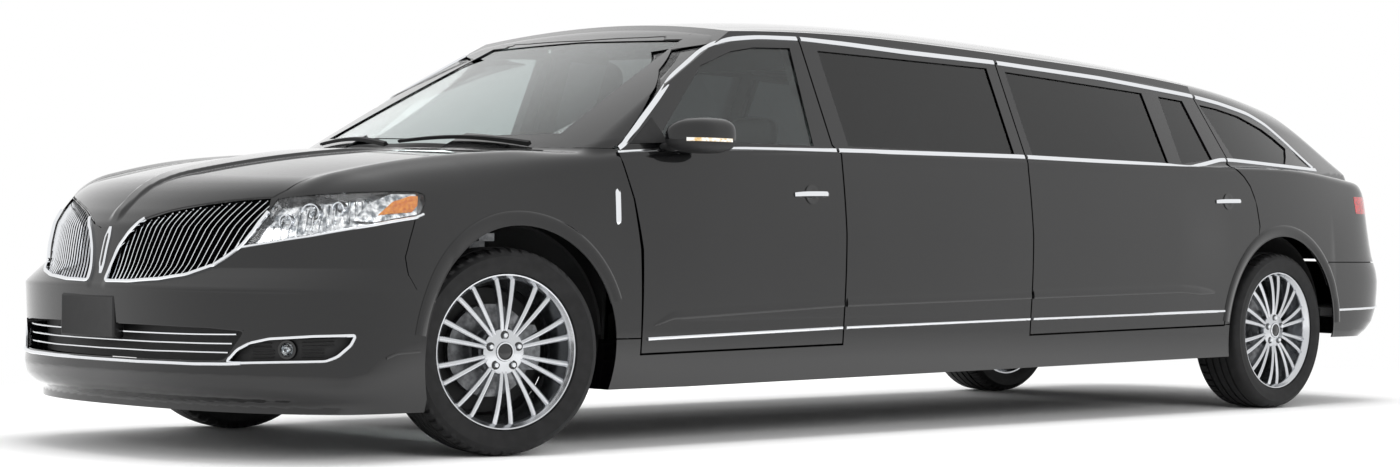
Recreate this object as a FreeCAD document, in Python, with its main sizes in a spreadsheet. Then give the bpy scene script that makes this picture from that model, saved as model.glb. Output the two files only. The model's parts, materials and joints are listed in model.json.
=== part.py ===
"""Stretch limousine with split front grilles, built as an assembly of separate pieces.

Frame: +Z up, X runs rearwards, Y runs to the car's right-hand side (left-hand side is -Y).
Origin: on the ground, under the middle of the bodywork's length.  Units are millimetres.

Bodywork: two outer volumes, the tub (below the belt line) and the greenhouse (above it), are lofted
from short station tables.  Their walls are then split by side, front and plan outlines, where the
real panels meet.
"""

import math
import os
import re

import FreeCAD
import Part
import Sketcher
from FreeCAD import Rotation, Vector

PARTS = "parts"
doc = FreeCAD.newDocument("limousine")

# --------------------------------------------------------------------------- driving dimensions
SIZES = {
    # overall bodywork
    "wheelbase": 4773.0,
    "front_overhang": 1130.0,
    "rear_overhang": 1148.0,
    "body_width": 1930.0,
    "roof_height": 1689.0,
    # wheels and steering
    "tyre_radius": 369.0,
    "tyre_width": 255.0,
    "rim_radius": 279.0,
    "rim_width": 224.0,
    "half_track": 818.0,
    "hub_radius": 78.0,
    "spoke_pairs": 10.0,
    "hub_bore": 39.0,
    "mount_face": 10.0,
    "spoke_gap": 30.0,
    "spoke_width": 14.0,
    "spoke_depth": 36.0,
    "disc_radius": 165.0,
    "disc_offset": 24.0,
    "disc_thickness": 28.0,
    "steer_rest": 14.0,
    "arch_radius": 446.0,
    # walls and gaps
    "skin": 12.0,
    "tub_wall": 90.0,
    "cabin_wall": 48.0,
    "door_gap": 8.0,
    "hood_gap": 12.0,
    "jamb_step": 22.0,
    "glass_thickness": 5.0,
    "glass_depth": 5.0,
    "hinge_pin": 4.0,
    "pin_clearance": 0.3,
    # side splits, measured back from the front axle, or forward from the rear axle
    "front_door_start": 571.0,
    "front_door_length": 1102.0,
    "rear_door_start": 1911.0,
    "rear_door_end": 212.0,
    # floor and running gear
    "floor_height": 262.0,
    "floor_thickness": 38.0,
    "engine_length": 620.0,
    "engine_width": 640.0,
    "engine_height": 560.0,
    "tank_length": 760.0,
    "tank_width": 520.0,
    "tank_height": 200.0,
    "pipe_radius": 30.0,
    "seat_width": 520.0,
    "steering_wheel_radius": 188.0,
}


def make_sheet():
    """Puts every driving dimension in a cell of its own, with its name as the alias."""
    sheet = doc.addObject("Spreadsheet::Sheet", "Sizes")
    for row, (name, value) in enumerate(SIZES.items(), start=1):
        sheet.set(f"A{row}", name)
        sheet.set(f"B{row}", f"{value:g}")
        sheet.setAlias(f"B{row}", name)
    doc.recompute()
    return sheet


sheet = make_sheet()


def size(name):
    return float(sheet.get(name))


HALF_WIDTH = size("body_width") / 2
LENGTH = size("front_overhang") + size("wheelbase") + size("rear_overhang")
FRONT_AXLE = size("front_overhang") - LENGTH / 2
REAR_AXLE = FRONT_AXLE + size("wheelbase")
NOSE = FRONT_AXLE - size("front_overhang")
TAIL = REAR_AXLE + size("rear_overhang")
AXLE_HEIGHT = size("tyre_radius")
ROOF = size("roof_height")
GAP = size("door_gap")
STEP = size("jamb_step")
SIDES = {"left": -1, "right": 1}
FAR = 1300.0  # reaches past the bodywork's side


def front(x):
    """x measured back from the front axle."""
    return FRONT_AXLE + x


def rear(x):
    """x measured back from the rear axle."""
    return REAR_AXLE + x


# --------------------------------------------------------------------------- small helpers
def add(name, shape):
    """A sub-part whose shape is worked out here."""
    obj = doc.addObject("Part::Feature", name)
    obj.Label = name
    obj.Shape = shape
    return obj


def closed_wire(points):
    return Part.makePolygon(list(points) + [points[0]])


def prism(points, direction):
    """A solid swept from a flat closed outline of points along a direction."""
    return Part.Face(closed_wire(points)).extrude(Vector(*direction))


def side_prism(outline, side, inner=250.0, grow=0.0):
    """An outline of (x, z) swept across one side of the car; grow moves its edges outwards."""
    wire = closed_wire([Vector(x, 0, z) for x, z in outline])
    if grow:
        wire = wire.makeOffset2D(grow, 2)
    low = -FAR if side < 0 else inner
    solid = Part.Face(wire).extrude(Vector(0, FAR - inner, 0))
    solid.translate(Vector(0, low, 0))
    return solid


def plan_prism(outline, low=0.0, high=2200.0):
    """A closed outline of (x, y) swept upwards."""
    return prism([Vector(x, y, low) for x, y in outline], (0, 0, high - low))


def front_prism(outline, x_low, x_high):
    """A closed outline of (y, z) swept rearwards."""
    return prism([Vector(x_low, y, z) for y, z in outline], (x_high - x_low, 0, 0))


def box(x0, x1, y0, y1, z0, z1):
    return Part.makeBox(x1 - x0, y1 - y0, z1 - z0, Vector(x0, y0, z0))


def cylinder_y(radius, x, z, y0, y1):
    return Part.makeCylinder(radius, y1 - y0, Vector(x, y0, z), Vector(0, 1, 0))


def mirrored(shape):
    return shape.mirror(Vector(0, 0, 0), Vector(0, 1, 0))


def both_sides(left_shape):
    """The left piece and its mirror image, as two solids of one sub-part."""
    return Part.makeCompound([left_shape, mirrored(left_shape)])


def largest(shape):
    """The biggest solid of a cut, as one solid."""
    return max(shape.Solids, key=lambda solid: solid.Volume)


def solids(shape, least=2000.0):
    """Every solid of a cut apart from slivers."""
    return Part.makeCompound([s for s in shape.Solids if s.Volume > least])


def whole(compound):
    """The parts of a compound joined into one solid where they touch."""
    joined = compound.Solids[0]
    for solid in compound.Solids[1:]:
        joined = joined.fuse(solid)
    return joined.removeSplitter()


# --------------------------------------------------------------------------- bodywork volumes
# Tub stations: x, half width lost at the sill, at the waist and at the shoulder, shoulder height,
# height of the deck at the centre line.
WAIST_HEIGHT = 650.0
TUB_FLOOR = 222.0
TUB_STATIONS = [
    (front(-1300), 30, 4, 190, 800, 850),
    (front(-850), 28, 4, 150, 900, 966),
    (front(-400), 24, 2, 118, 1006, 1050),
    (front(60), 20, 0, 90, 1058, 1094),
    (front(571), 20, 0, 44, 1090, 1118),
    (front(1700), 20, 0, 30, 1122, 1134),
    (rear(-480), 20, 0, 32, 1128, 1142),
    (rear(240), 22, 4, 52, 1126, 1140),
    (rear(900), 40, 30, 110, 1072, 1104),
    (rear(1300), 60, 50, 150, 1030, 1085),
]
# Greenhouse stations: x, half width at the belt, half width at the roof rail, rail height and
# centre height below the highest point of the roof.
BELT_HEIGHT = 1126.0
CABIN_FLOOR = 930.0
CABIN_STATIONS = [
    (front(100), 858, 700, 177, 137),
    (front(700), 905, 722, 147, 117),
    (front(1600), 925, 726, 89, 29),
    (rear(-1931), 925, 726, 104, 0),
    (rear(-1150), 925, 724, 134, 28),
    (rear(-500), 915, 716, 175, 71),
    (rear(0), 880, 700, 234, 110),
    (rear(450), 815, 660, 317, 157),
    (rear(1200), 650, 540, 467, 277),
]
# Plan outline of the bumpers, from the nose's centre to the left side, (x, y).
NOSE_PLAN = [(0, 0), (40, 400), (112, 550), (330, 762), (600, 915), (800, 961)]
TAIL_PLAN = [(0, 0), (-20, 480), (-90, 760), (-180, 870), (-330, 930), (-620, 958), (-900, 972)]
# Side outline of the nose and tail, (x, z).
NOSE_SIDE = [(150, 205), (40, 215), (0, 300), (0, 560), (61, 801), (147, 888), (235, 962), (700, 1900)]
TAIL_SIDE = [(-860, 262), (-500, 312), (-150, 352), (-30, 440), (0, 560), (-34, 700), (-16, 1000)]
TAIL_SIDE += [(-60, 1110), (-60, 1900)]


def smooth_loft(sections):
    return Part.makeLoft(sections, True, False)


def tub_section(station, inset):
    x, sill_in, waist_in, shoulder_in, shoulder_z, deck_z = station
    sill = HALF_WIDTH - sill_in - inset
    waist = HALF_WIDTH - waist_in - inset
    shoulder = HALF_WIDTH - shoulder_in - inset
    low, shoulder_z, deck_z = TUB_FLOOR + inset, shoulder_z - inset * 0.9, deck_z - inset
    if shoulder_z < WAIST_HEIGHT + 40:
        shoulder_z = WAIST_HEIGHT + 40
    left_low, left_waist = Vector(x, -sill, low), Vector(x, -waist, WAIST_HEIGHT)
    left_top, top = Vector(x, -shoulder, shoulder_z), Vector(x, 0, deck_z)
    right_top, right_waist = Vector(x, shoulder, shoulder_z), Vector(x, waist, WAIST_HEIGHT)
    right_low = Vector(x, sill, low)
    return Part.Wire(
        [
            Part.Arc(left_low, left_waist, left_top).toShape(),
            Part.Arc(left_top, top, right_top).toShape(),
            Part.Arc(right_top, right_waist, right_low).toShape(),
            Part.makeLine(right_low, left_low),
        ]
    )


def cabin_section(station, inset):
    x, belt, rail, rail_drop, roof_drop = station
    slope = (belt - rail) / (ROOF - rail_drop - BELT_HEIGHT)
    rail_z, roof_z = ROOF - rail_drop - inset, ROOF - roof_drop - inset
    side_inset = inset * math.sqrt(1 + slope * slope)

    def half(z):
        return belt - side_inset - slope * (z - BELT_HEIGHT)

    left_low = Vector(x, -half(BELT_HEIGHT), CABIN_FLOOR)
    right_low = Vector(x, half(BELT_HEIGHT), CABIN_FLOOR)
    left_belt, right_belt = Vector(x, left_low.y, BELT_HEIGHT), Vector(x, right_low.y, BELT_HEIGHT)
    left_top, right_top = Vector(x, -half(rail_z), rail_z), Vector(x, half(rail_z), rail_z)
    return Part.Wire(
        [
            Part.makeLine(left_low, left_belt),
            Part.makeLine(left_belt, left_top),
            Part.Arc(left_top, Vector(x, 0, roof_z), right_top).toShape(),
            Part.makeLine(right_top, right_belt),
            Part.makeLine(right_belt, right_low),
            Part.makeLine(right_low, left_low),
        ]
    )


def mirrored_outline(half_outline):
    """A plan outline's left half, given from the centre outwards, and its mirror image."""
    left = [(x, -y) for x, y in half_outline]
    right = [(x, y) for x, y in reversed(half_outline) if y > 0]
    return right + left


def ends(inset):
    """Everything between the nose and the tail, as seen from above and from the side."""
    nose = mirrored_outline([(NOSE + x, y) for x, y in NOSE_PLAN])
    tail = mirrored_outline([(TAIL + x, y) for x, y in TAIL_PLAN])
    nose = [(nose[0][0], FAR)] + nose + [(nose[-1][0], -FAR)]
    tail = [(tail[0][0], FAR)] + tail + [(tail[-1][0], -FAR)]
    plan_wire = closed_wire([Vector(x, y, 0) for x, y in nose + list(reversed(tail))])
    profile = [(NOSE + x, z) for x, z in NOSE_SIDE] + [(TAIL + x, z) for x, z in reversed(TAIL_SIDE)]
    side_wire = closed_wire([Vector(x, 0, z) for x, z in profile])
    if inset:
        plan_wire = plan_wire.makeOffset2D(-inset, 2)
        side_wire = side_wire.makeOffset2D(-inset, 2)
    plan_solid = Part.Face(plan_wire).extrude(Vector(0, 0, 2000))
    side_solid = Part.Face(side_wire).extrude(Vector(0, 2 * FAR, 0))
    side_solid.translate(Vector(0, -FAR, 0))
    return plan_solid.common(side_solid)


def tub(inset):
    """The body below the belt line, with its walls moved in by inset."""
    return smooth_loft([tub_section(station, inset) for station in TUB_STATIONS]).common(ends(inset))


# Windscreen and tailgate glass lines: x and z of the foot and of the head on the centre line, and
# how far the glass has curved back (or forward) at 750 mm from the centre line at each of the two.
SCREEN = {"foot": (front(165), 1118.0), "head": (front(1116), 1554.0), "curves": (198.0, 80.0)}
HATCH = {"foot": (rear(1110), 1110.0), "head": (rear(390), 1500.0), "curves": (-150.0, -150.0)}
CURVE_HALF = 750.0


def slanted_solid(line, inset, behind):
    """Everything behind the windscreen's surface, or ahead of the tailgate's."""
    (x0, z0), (x1, z1) = line["foot"], line["head"]
    slope = (x1 - x0) / (z1 - z0)
    shift = inset * math.sqrt(1 + slope * slope) * (1 if behind else -1)
    side = 9000 if behind else -9000
    sections = []
    for z in (900.0, 1750.0):
        share = (z - z0) / (z1 - z0)
        foot_curve, head_curve = line["curves"]
        curve = foot_curve + (head_curve - foot_curve) * share
        x = x0 + slope * (z - z0) + shift
        edge = [Vector(x + curve * (y / CURVE_HALF) ** 2, y, z) for y in (-FAR, 0, FAR)]
        outer = [Vector(x + side, FAR, z), Vector(x + side, -FAR, z)]
        wire = [
            Part.Arc(*edge).toShape(),
            Part.makeLine(edge[2], outer[0]),
            Part.makeLine(outer[0], outer[1]),
            Part.makeLine(outer[1], edge[0]),
        ]
        sections.append(Part.Wire(wire))
    return Part.makeLoft(sections, True, True)


def cabin(inset):
    """The body above the belt line, with its walls moved in by inset."""
    shape = smooth_loft([cabin_section(station, inset) for station in CABIN_STATIONS])
    shape = shape.common(slanted_solid(SCREEN, inset, True)).common(slanted_solid(HATCH, inset, False))
    return shape.common(ends(inset))


def body(tub_inset, cabin_inset):
    return tub(tub_inset).fuse(cabin(cabin_inset))


print("lofting the bodywork")
OUTER = body(0, 0)
MIDDLE = body(size("skin"), size("skin"))
INNER = body(size("tub_wall"), size("cabin_wall"))
GLASS = body(size("glass_depth"), size("glass_depth")).cut(
    body(size("glass_depth") + size("glass_thickness"), size("glass_depth") + size("glass_thickness"))
)
UNDER_HOOD = tub(30.0)

# --------------------------------------------------------------------------- panel outlines
# Side view outlines, (x, z).
A_CUT = size("front_door_start")
B_CUT = A_CUT + size("front_door_length")
C_CUT = size("rear_door_start")
D_CUT = size("rear_door_end")
LIP = size("arch_radius") + 36  # outer radius of the wheel-arch lip
SILL_START, SILL_SLOPE = 348.0, 51.0 / 3583


def sill(x):
    """Height of the line between the doors and the rocker."""
    return SILL_START + SILL_SLOPE * (x - front(A_CUT))



def window_line():
    """Upper edge of the side doors and windows, front to rear."""
    return [
        (front(484), 1092),
        (front(520), 1118),
        (front(644), 1214),
        (front(847), 1378),
        (front(1047), 1494),
        (front(1150), 1528),
        (front(1240), 1548),
        (front(1400), 1564),
        (front(B_CUT - 46), 1569),
        (front(2266), 1551),
        (rear(-C_CUT - 8), 1541),
        (rear(-1166), 1509),
        (rear(-455), 1461),
    ]


def arch_arc(radius, start, stop, steps=6):
    """Points round the rear wheel arch, angles in degrees from the rearward horizontal."""
    return [
        (
            REAR_AXLE + radius * math.cos(math.radians(start + (stop - start) * i / steps)),
            AXLE_HEIGHT + radius * math.sin(math.radians(start + (stop - start) * i / steps)),
        )
        for i in range(steps + 1)
    ]


def front_door_outline():
    top = [p for p in window_line() if p[0] <= front(B_CUT - 40)]
    return (
        [(front(A_CUT), SILL_START), (front(A_CUT), 733), (front(A_CUT - 31), 915), (front(A_CUT - 71), 1050)]
        + top
        + [(front(B_CUT - 33), 1148), (front(B_CUT), 1115), (front(B_CUT), sill(front(B_CUT)))]
    )


def rear_door_outline():
    top = [p for p in window_line() if p[0] >= rear(-C_CUT - 10)]
    return (
        [(rear(-C_CUT - 8), sill(rear(-C_CUT - 8)))]
        + top
        + [
            (rear(-375), 1165),
            (rear(-403), 1145),
            (rear(-311), 1090),
            (rear(-264), 1045),
            (rear(-225), 972),
            (rear(-D_CUT + 8), 860),
        ]
        + arch_arc(LIP + 6, 116, 176)
        + [(rear(-LIP - 6), sill(rear(-LIP - 6)))]
    )


def centre_outline():
    """The fixed panel between the front and rear doors."""
    top = [p for p in window_line() if front(B_CUT - 50) < p[0] < rear(-C_CUT)]
    return (
        [(front(B_CUT), sill(front(B_CUT))), (front(B_CUT), 1115), (front(B_CUT - 33), 1148)]
        + top
        + [(rear(-C_CUT - 8), sill(rear(-C_CUT - 8)))]
    )


WINDOWS = {
    "front_door": [
        (front(700), 1142),
        (front(1036), 1437),
        (front(1221), 1502),
        (front(1352), 1524),
        (front(B_CUT - 113), 1533),
        (front(B_CUT - 143), 1142),
    ],
    "centre": [
        (front(B_CUT + 62), 1147),
        (front(B_CUT + 46), 1531),
        (rear(-C_CUT - 78), 1515),
        (rear(-C_CUT - 78), 1147),
    ],
    "rear_door": [
        (rear(-C_CUT + 43), 1142),
        (rear(-C_CUT + 43), 1506),
        (rear(-883), 1458),
        (rear(-883), 1136),
    ],
    "rear_door_small": [
        (rear(-780), 1138),
        (rear(-755), 1448),
        (rear(-562), 1436),
        (rear(-509), 1164),
    ],
    "quarter": [
        (rear(-316), 1169),
        (rear(-425), 1424),
        (rear(-278), 1411),
        (rear(-94), 1383),
        (rear(95), 1328),
        (rear(270), 1240),
        (rear(180), 1161),
    ],
}
# Plan outlines of the hood, roof and tailgate: left halves, (x, y), centre outwards.
HOOD_FRONT = [(NOSE + 78, 0), (NOSE + 112, 330), (NOSE + 230, 560), (NOSE + 470, 640)]
HOOD_BACK = [(front(300), 745), (front(150), 400), (front(110), 0)]
ROOF_FRONT = [(front(1141), 0), (front(1160), 350), (front(1190), 560)]
ROOF_BACK = [(rear(480), 560), (rear(480), 0)]
GATE_TOP = [(rear(413), 0), (rear(406), 300), (rear(388), 560), (rear(380), 640)]
GATE_SIDE = [(rear(300), 0), (rear(300), 560), (rear(388), 560), (rear(700), 640), (rear(960), 720)]
GATE_SIDE += [(TAIL + 300, 720), (TAIL + 300, 0)]
# Front and rear view outlines, (y, z), left halves.
SCREEN_HOLE = [(0, 1140), (690, 1158), (560, 1548), (0, 1560)]
GRILLE_HOLE = [(60, 612), (104, 790), (200, 815), (330, 845), (530, 868)]
GRILLE_HOLE += [(455, 735), (560, 700), (600, 655), (400, 640)]
LAMP_HOLE = [(480, 735), (590, 700), (760, 742), (1000, 815), (1000, 915), (700, 908), (560, 872)]
FOG_HOLE = [(470, 330), (880, 330), (880, 438), (640, 438)]
LOWER_HOLE = [(0, 345), (420, 345), (395, 545), (0, 545)]
REAR_LAMP_HOLE = [(560, 905), (1000, 900), (1000, 1012), (600, 1030)]


def full_plan(half):
    """A closed plan outline from its right half, listed from the centre line round to it."""
    return half + [(x, -y) for x, y in reversed(half) if y > 0]


def full_view(half):
    """A closed front or rear view outline from its half."""
    return half + [(-y, z) for y, z in reversed(half) if y > 0]


def one_side(half, side=-1):
    return [(side * y, z) for y, z in half]


# --------------------------------------------------------------------------- wall pieces
print("splitting the walls")
SHELL = OUTER.cut(INNER)
FACE_SHELL = OUTER.cut(UNDER_HOOD)
LEFT_HALF = box(NOSE - 50, TAIL + 50, -FAR, 0, 0, 2000)
LEFT = SHELL.common(LEFT_HALF)
HALF_GAP = GAP / 2


def grown_plan(half, grow, low):
    wire = closed_wire([Vector(x, y, low) for x, y in full_plan(half)])
    if grow:
        wire = wire.makeOffset2D(grow, 2)
    return Part.Face(wire).extrude(Vector(0, 0, 2200 - low))


HOOD_OUTLINE = HOOD_FRONT + HOOD_BACK
HOOD_IN = grown_plan(HOOD_OUTLINE, -size("hood_gap") / 2, 700)
HOOD_OUT = grown_plan(HOOD_OUTLINE, size("hood_gap") / 2, 700)
hatch_rise, hatch_run = HATCH["head"][1] - HATCH["foot"][1], HATCH["foot"][0] - HATCH["head"][0]
GATE_SLOPE = math.degrees(math.atan2(hatch_rise, hatch_run))
TOP_CUT = 1490.0  # height at which the tailgate's top edge is given


def behind_top_edge(grow):
    """Everything behind the tailgate's top edge, cut square to its glass."""
    outline = full_plan(GATE_TOP + [(TAIL + 900, 1200), (TAIL + 900, 0)])
    wire = closed_wire([Vector(x, y, TOP_CUT) for x, y in outline])
    if grow:
        wire = wire.makeOffset2D(grow, 2)
    square = Vector(math.sin(math.radians(GATE_SLOPE)), 0, math.cos(math.radians(GATE_SLOPE)))
    face = Part.Face(wire)
    face.translate(square * -900)
    return face.extrude(square * 1200)


ROOF_ZONE = grown_plan(ROOF_FRONT + ROOF_BACK, 0, 1300).cut(behind_top_edge(GAP))
GATE_IN = grown_plan(GATE_SIDE, 0, 700).common(behind_top_edge(0))
GATE_OUT = grown_plan(GATE_SIDE, GAP, 692).common(behind_top_edge(GAP))
SCREEN_ZONE = front_prism(full_view(SCREEN_HOLE), front(60), front(1300))
ARCH_FRONT = cylinder_y(size("arch_radius"), FRONT_AXLE, AXLE_HEIGHT, -FAR, -470)
ARCH_REAR = cylinder_y(size("arch_radius"), REAR_AXLE, AXLE_HEIGHT, -FAR, -540)
LAMP_END = front(-428)
LAMP_ZONE = front_prism(one_side(LAMP_HOLE), NOSE - 50, LAMP_END)
GRILLE_ZONE = front_prism(one_side(GRILLE_HOLE), NOSE - 50, front(-560))
FOG_ZONE = front_prism(one_side(FOG_HOLE), NOSE - 50, front(-560))
LOWER_ZONE = front_prism(full_view(LOWER_HOLE), NOSE - 50, front(-700))
TAIL_LAMP_ZONE = front_prism(one_side(REAR_LAMP_HOLE), rear(690), TAIL + 50)

outlines = {"front": front_door_outline(), "rear": rear_door_outline()}
door_out = {end: side_prism(outline, -1, 250, HALF_GAP) for end, outline in outlines.items()}
door_skin = {end: side_prism(outline, -1, 250, -HALF_GAP) for end, outline in outlines.items()}
door_core = {end: side_prism(outline, -1, 250, -HALF_GAP - STEP) for end, outline in outlines.items()}
window = {name: side_prism(outline, -1) for name, outline in WINDOWS.items()}
DOOR_SPACES = door_out["front"].fuse(door_out["rear"])

LINE = 1100.0  # split between fender and pillar
QUARTER_START = rear(-455)
centre_zone = side_prism(centre_outline(), -1)
rocker_zone = side_prism(
    [
        (front(300), 150),
        (front(300), 404),
        (front(A_CUT), 404),
        (front(A_CUT), SILL_START),
        (rear(-LIP - 6), sill(rear(-LIP - 6))),
        (rear(-300), sill(rear(-300))),
        (rear(-300), 150),
    ],
    -1,
    780,
)
bumper_box = box(NOSE - 50, LAMP_END, -FAR, FAR, 100, 840)
rear_bumper_box = box(rear(300), TAIL + 50, -FAR, FAR, 100, 692)
COWL_PLAN = [(front(60), 0), (front(60), 745), (front(360), 745), (front(470), 640), (front(470), 0)]
cowl_zone = grown_plan(COWL_PLAN, 0, 700)
cowl = SHELL.common(box(front(60), front(470), -FAR, FAR, 700, 1150)).common(cowl_zone)
cowl = cowl.cut(HOOD_OUT).cut(SCREEN_ZONE)
for cutter in (DOOR_SPACES, mirrored(DOOR_SPACES)):
    cowl = cowl.cut(cutter)
cowl = largest(cowl)

print("  fenders")
fender = LEFT.common(box(NOSE - 50, front(A_CUT), -FAR, 0, 404, LINE))
for cutter in (DOOR_SPACES, HOOD_OUT, cowl_zone, bumper_box, LAMP_ZONE, GRILLE_ZONE, ARCH_FRONT):
    fender = fender.cut(cutter)
fender = fender.cut(box(NOSE - 50, front(A_CUT), -600, 0, 404, 1000))
fender = largest(fender)
add("front_fenders", both_sides(fender))

print("  bumpers")
bumper = SHELL.common(bumper_box).cut(HOOD_OUT).cut(LOWER_ZONE)
for cutter in (LAMP_ZONE, GRILLE_ZONE, FOG_ZONE, ARCH_FRONT):
    bumper = bumper.cut(cutter).cut(mirrored(cutter))
bumper = bumper.cut(box(NOSE + 200, front(0), -640, 640, 100, 330))
add("front_bumper", largest(bumper))
rear_bumper = SHELL.common(rear_bumper_box).cut(ARCH_REAR).cut(mirrored(ARCH_REAR))
rear_bumper = rear_bumper.cut(box(rear(200), TAIL - 220, -760, 760, 100, 470))
add("rear_bumper", largest(rear_bumper))

print("  grille and lamps")
grille = FACE_SHELL.common(GRILLE_ZONE).cut(HOOD_OUT)
lower_grille = FACE_SHELL.common(LOWER_ZONE)
add("front_grille", Part.makeCompound([largest(grille), mirrored(largest(grille)), largest(lower_grille)]))
lamp = SHELL.common(LAMP_ZONE).cut(HOOD_OUT).cut(GRILLE_ZONE)
add("headlamps", both_sides(largest(lamp)))
add("fog_lamps", both_sides(largest(FACE_SHELL.common(FOG_ZONE).cut(ARCH_FRONT))))
tail_lamp = LEFT.common(TAIL_LAMP_ZONE).cut(GATE_OUT)
add("tail_lamps", both_sides(largest(tail_lamp)))

print("  sides")
add("rockers", both_sides(largest(SHELL.common(rocker_zone).cut(ARCH_FRONT).cut(ARCH_REAR).cut(DOOR_SPACES))))
centre = LEFT.common(centre_zone).cut(DOOR_SPACES).cut(window["centre"]).cut(rocker_zone)
add("centre_panels", both_sides(largest(centre)))
quarter = LEFT.common(box(rear(-760), TAIL + 50, -FAR, 0, 300, 2000)).cut(rocker_zone)
quarter_cutters = [DOOR_SPACES, GATE_OUT, ROOF_ZONE, rear_bumper_box, TAIL_LAMP_ZONE, ARCH_REAR]
for cutter in quarter_cutters + [window["quarter"]]:
    quarter = quarter.cut(cutter)
quarter = quarter.cut(box(rear(-760), QUARTER_START, -FAR, 0, 900, 2000))
quarter = quarter.cut(box(rear(-760), TAIL, -560, 0, 300, 900))
add("rear_quarters", both_sides(largest(quarter)))
frame = LEFT.common(box(front(150), QUARTER_START, -FAR, 0, LINE, 2000))
for cutter in (DOOR_SPACES, centre_zone, ROOF_ZONE, SCREEN_ZONE, HOOD_OUT, cowl):
    frame = frame.cut(cutter)
add("side_frames", both_sides(largest(frame)))

# Hinges.  A goose-neck plate stands on the fixed edge and carries a pin on the hinge line; the
# moving panel has a notch for the plate and a bore for the pin.  In a hinge's own frame X runs
# from the fixed edge to the moving panel, Y runs inwards and Z is the hinge line.
PIN = size("hinge_pin")
BORE = PIN + size("pin_clearance")
NECK = 5.0  # half width of the goose-neck
PLATE = 6.0  # half thickness of the plate
PIN_HALF = 26.0


def hinge_plate(reach, arm_low, arm_high):
    arm = box(-reach, NECK, arm_low, arm_high, -PLATE, PLATE)
    neck = box(-NECK, NECK, 0, arm_high, -PLATE, PLATE)
    tip = Part.makeCylinder(NECK, 2 * PLATE, Vector(0, 0, -PLATE))
    pin = Part.makeCylinder(PIN, 2 * PIN_HALF, Vector(0, 0, -PIN_HALF))
    return whole(Part.makeCompound([arm, neck, tip, pin]))


def hinge_space(floor, run):
    """What the moving panel leaves free; the notch comes down to floor, then slopes to the pin."""
    corners = [(NECK + 1, 0), (NECK + 6, 20), (NECK + 6, 140), (-90, 140)]
    corners += [(-90, floor), (-run, floor), (-2.5, -5.4)]
    half = PLATE + 5
    notch = prism([Vector(x, y, -half) for x, y in corners], (0, 0, 2 * half))
    tip = Part.makeCylinder(NECK + 0.6, 2 * half, Vector(0, 0, -half))
    bore = Part.makeCylinder(BORE, 2 * PIN_HALF + 1, Vector(0, 0, -PIN_HALF - 0.5))
    return notch.fuse(tip).fuse(bore)


def moved(shape, placement):
    copy = shape.copy()
    copy.Placement = placement
    return copy


HINGE_SETBACK = 30.0  # hinge line behind the door's front cut
HINGE_SIDE = HALF_WIDTH - 10
HINGE_HEIGHTS = (470.0, 680.0)
DOOR_CUTS = {"front": front(A_CUT), "rear": rear(-C_CUT - 8)}
door_plate = hinge_plate(HINGE_SETBACK + HALF_GAP, 50, 72)
door_space = hinge_space(4.0, 24.0)


def door_hinge_places(end):
    x = DOOR_CUTS[end] + HINGE_SETBACK
    return [FreeCAD.Placement(Vector(x, -HINGE_SIDE, z), Rotation()) for z in HINGE_HEIGHTS]


GATE_HINGE = Vector(rear(452), 0, 1452)
GATE_REACH = 47.0
gate_turn = Rotation(Vector(0, 1, 0), GATE_SLOPE) * Rotation(Vector(1, 0, 0), -90)
gate_places = [FreeCAD.Placement(GATE_HINGE + Vector(0, y, 0), gate_turn) for y in (-120, 120)]
gate_plate = hinge_plate(GATE_REACH + 38, 58, 70)
gate_plate = whole(gate_plate.fuse(box(-GATE_REACH - 38, -GATE_REACH - 13, 0, 70, -PLATE, PLATE)))
gate_space = hinge_space(1.0, 34.0)

HOOD_HINGE = Vector(front(215), 0, 1062)
HOOD_PIN_IN = 716.0

print("  roof, hood and tailgate")
roof = largest(SHELL.common(ROOF_ZONE).cut(SCREEN_ZONE))
add("roof_panel", roof)
hood = largest(FACE_SHELL.common(HOOD_IN).cut(GRILLE_ZONE).cut(mirrored(GRILLE_ZONE)))
hood = hood.cut(cylinder_y(BORE, HOOD_HINGE.x, HOOD_HINGE.z, HOOD_PIN_IN - 1, FAR))
hood = hood.cut(cylinder_y(BORE, HOOD_HINGE.x, HOOD_HINGE.z, -FAR, 1 - HOOD_PIN_IN))
add("hood", largest(hood))
GATE_GLASS = [(rear(470), 0), (rear(462), 300), (rear(440), 470), (rear(800), 540), (rear(985), 540)]
gate_window = grown_plan(GATE_GLASS + [(rear(1010), 0)], 0, 900)
gate = SHELL.common(GATE_IN).cut(gate_window)
for place in gate_places:
    gate = gate.cut(moved(gate_space, place))
add("liftgate", largest(gate))
add("liftgate_glass", largest(GLASS.common(gate_window).common(box(rear(300), TAIL, -FAR, FAR, 1100, 2000))))

print("  glass")
windshield = GLASS.common(SCREEN_ZONE).cut(DOOR_SPACES).cut(mirrored(DOOR_SPACES))
add("windshield", largest(windshield))
add("centre_windows", both_sides(largest(GLASS.common(window["centre"]))))
add("quarter_windows", both_sides(largest(GLASS.common(window["quarter"]))))

print("  doors")
DOOR_SHELL = MIDDLE.cut(INNER)
SKIN_SHELL = OUTER.cut(MIDDLE)
for end in ("front", "rear"):
    panes = ["front_door"] if end == "front" else ["rear_door", "rear_door_small"]
    door = SKIN_SHELL.common(door_skin[end]).fuse(DOOR_SHELL.common(door_core[end]))
    for pane in panes:
        door = door.cut(window[pane])
    for place in door_hinge_places(end):
        door = door.cut(moved(door_space, place))
    left = largest(door)
    glass = Part.makeCompound([largest(GLASS.common(window[pane])) for pane in panes])
    for side, sign in SIDES.items():
        add(f"{end}_door_{side}", left if sign < 0 else mirrored(left))
        add(f"{end}_door_glass_{side}", glass if sign < 0 else mirrored(glass))

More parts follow.
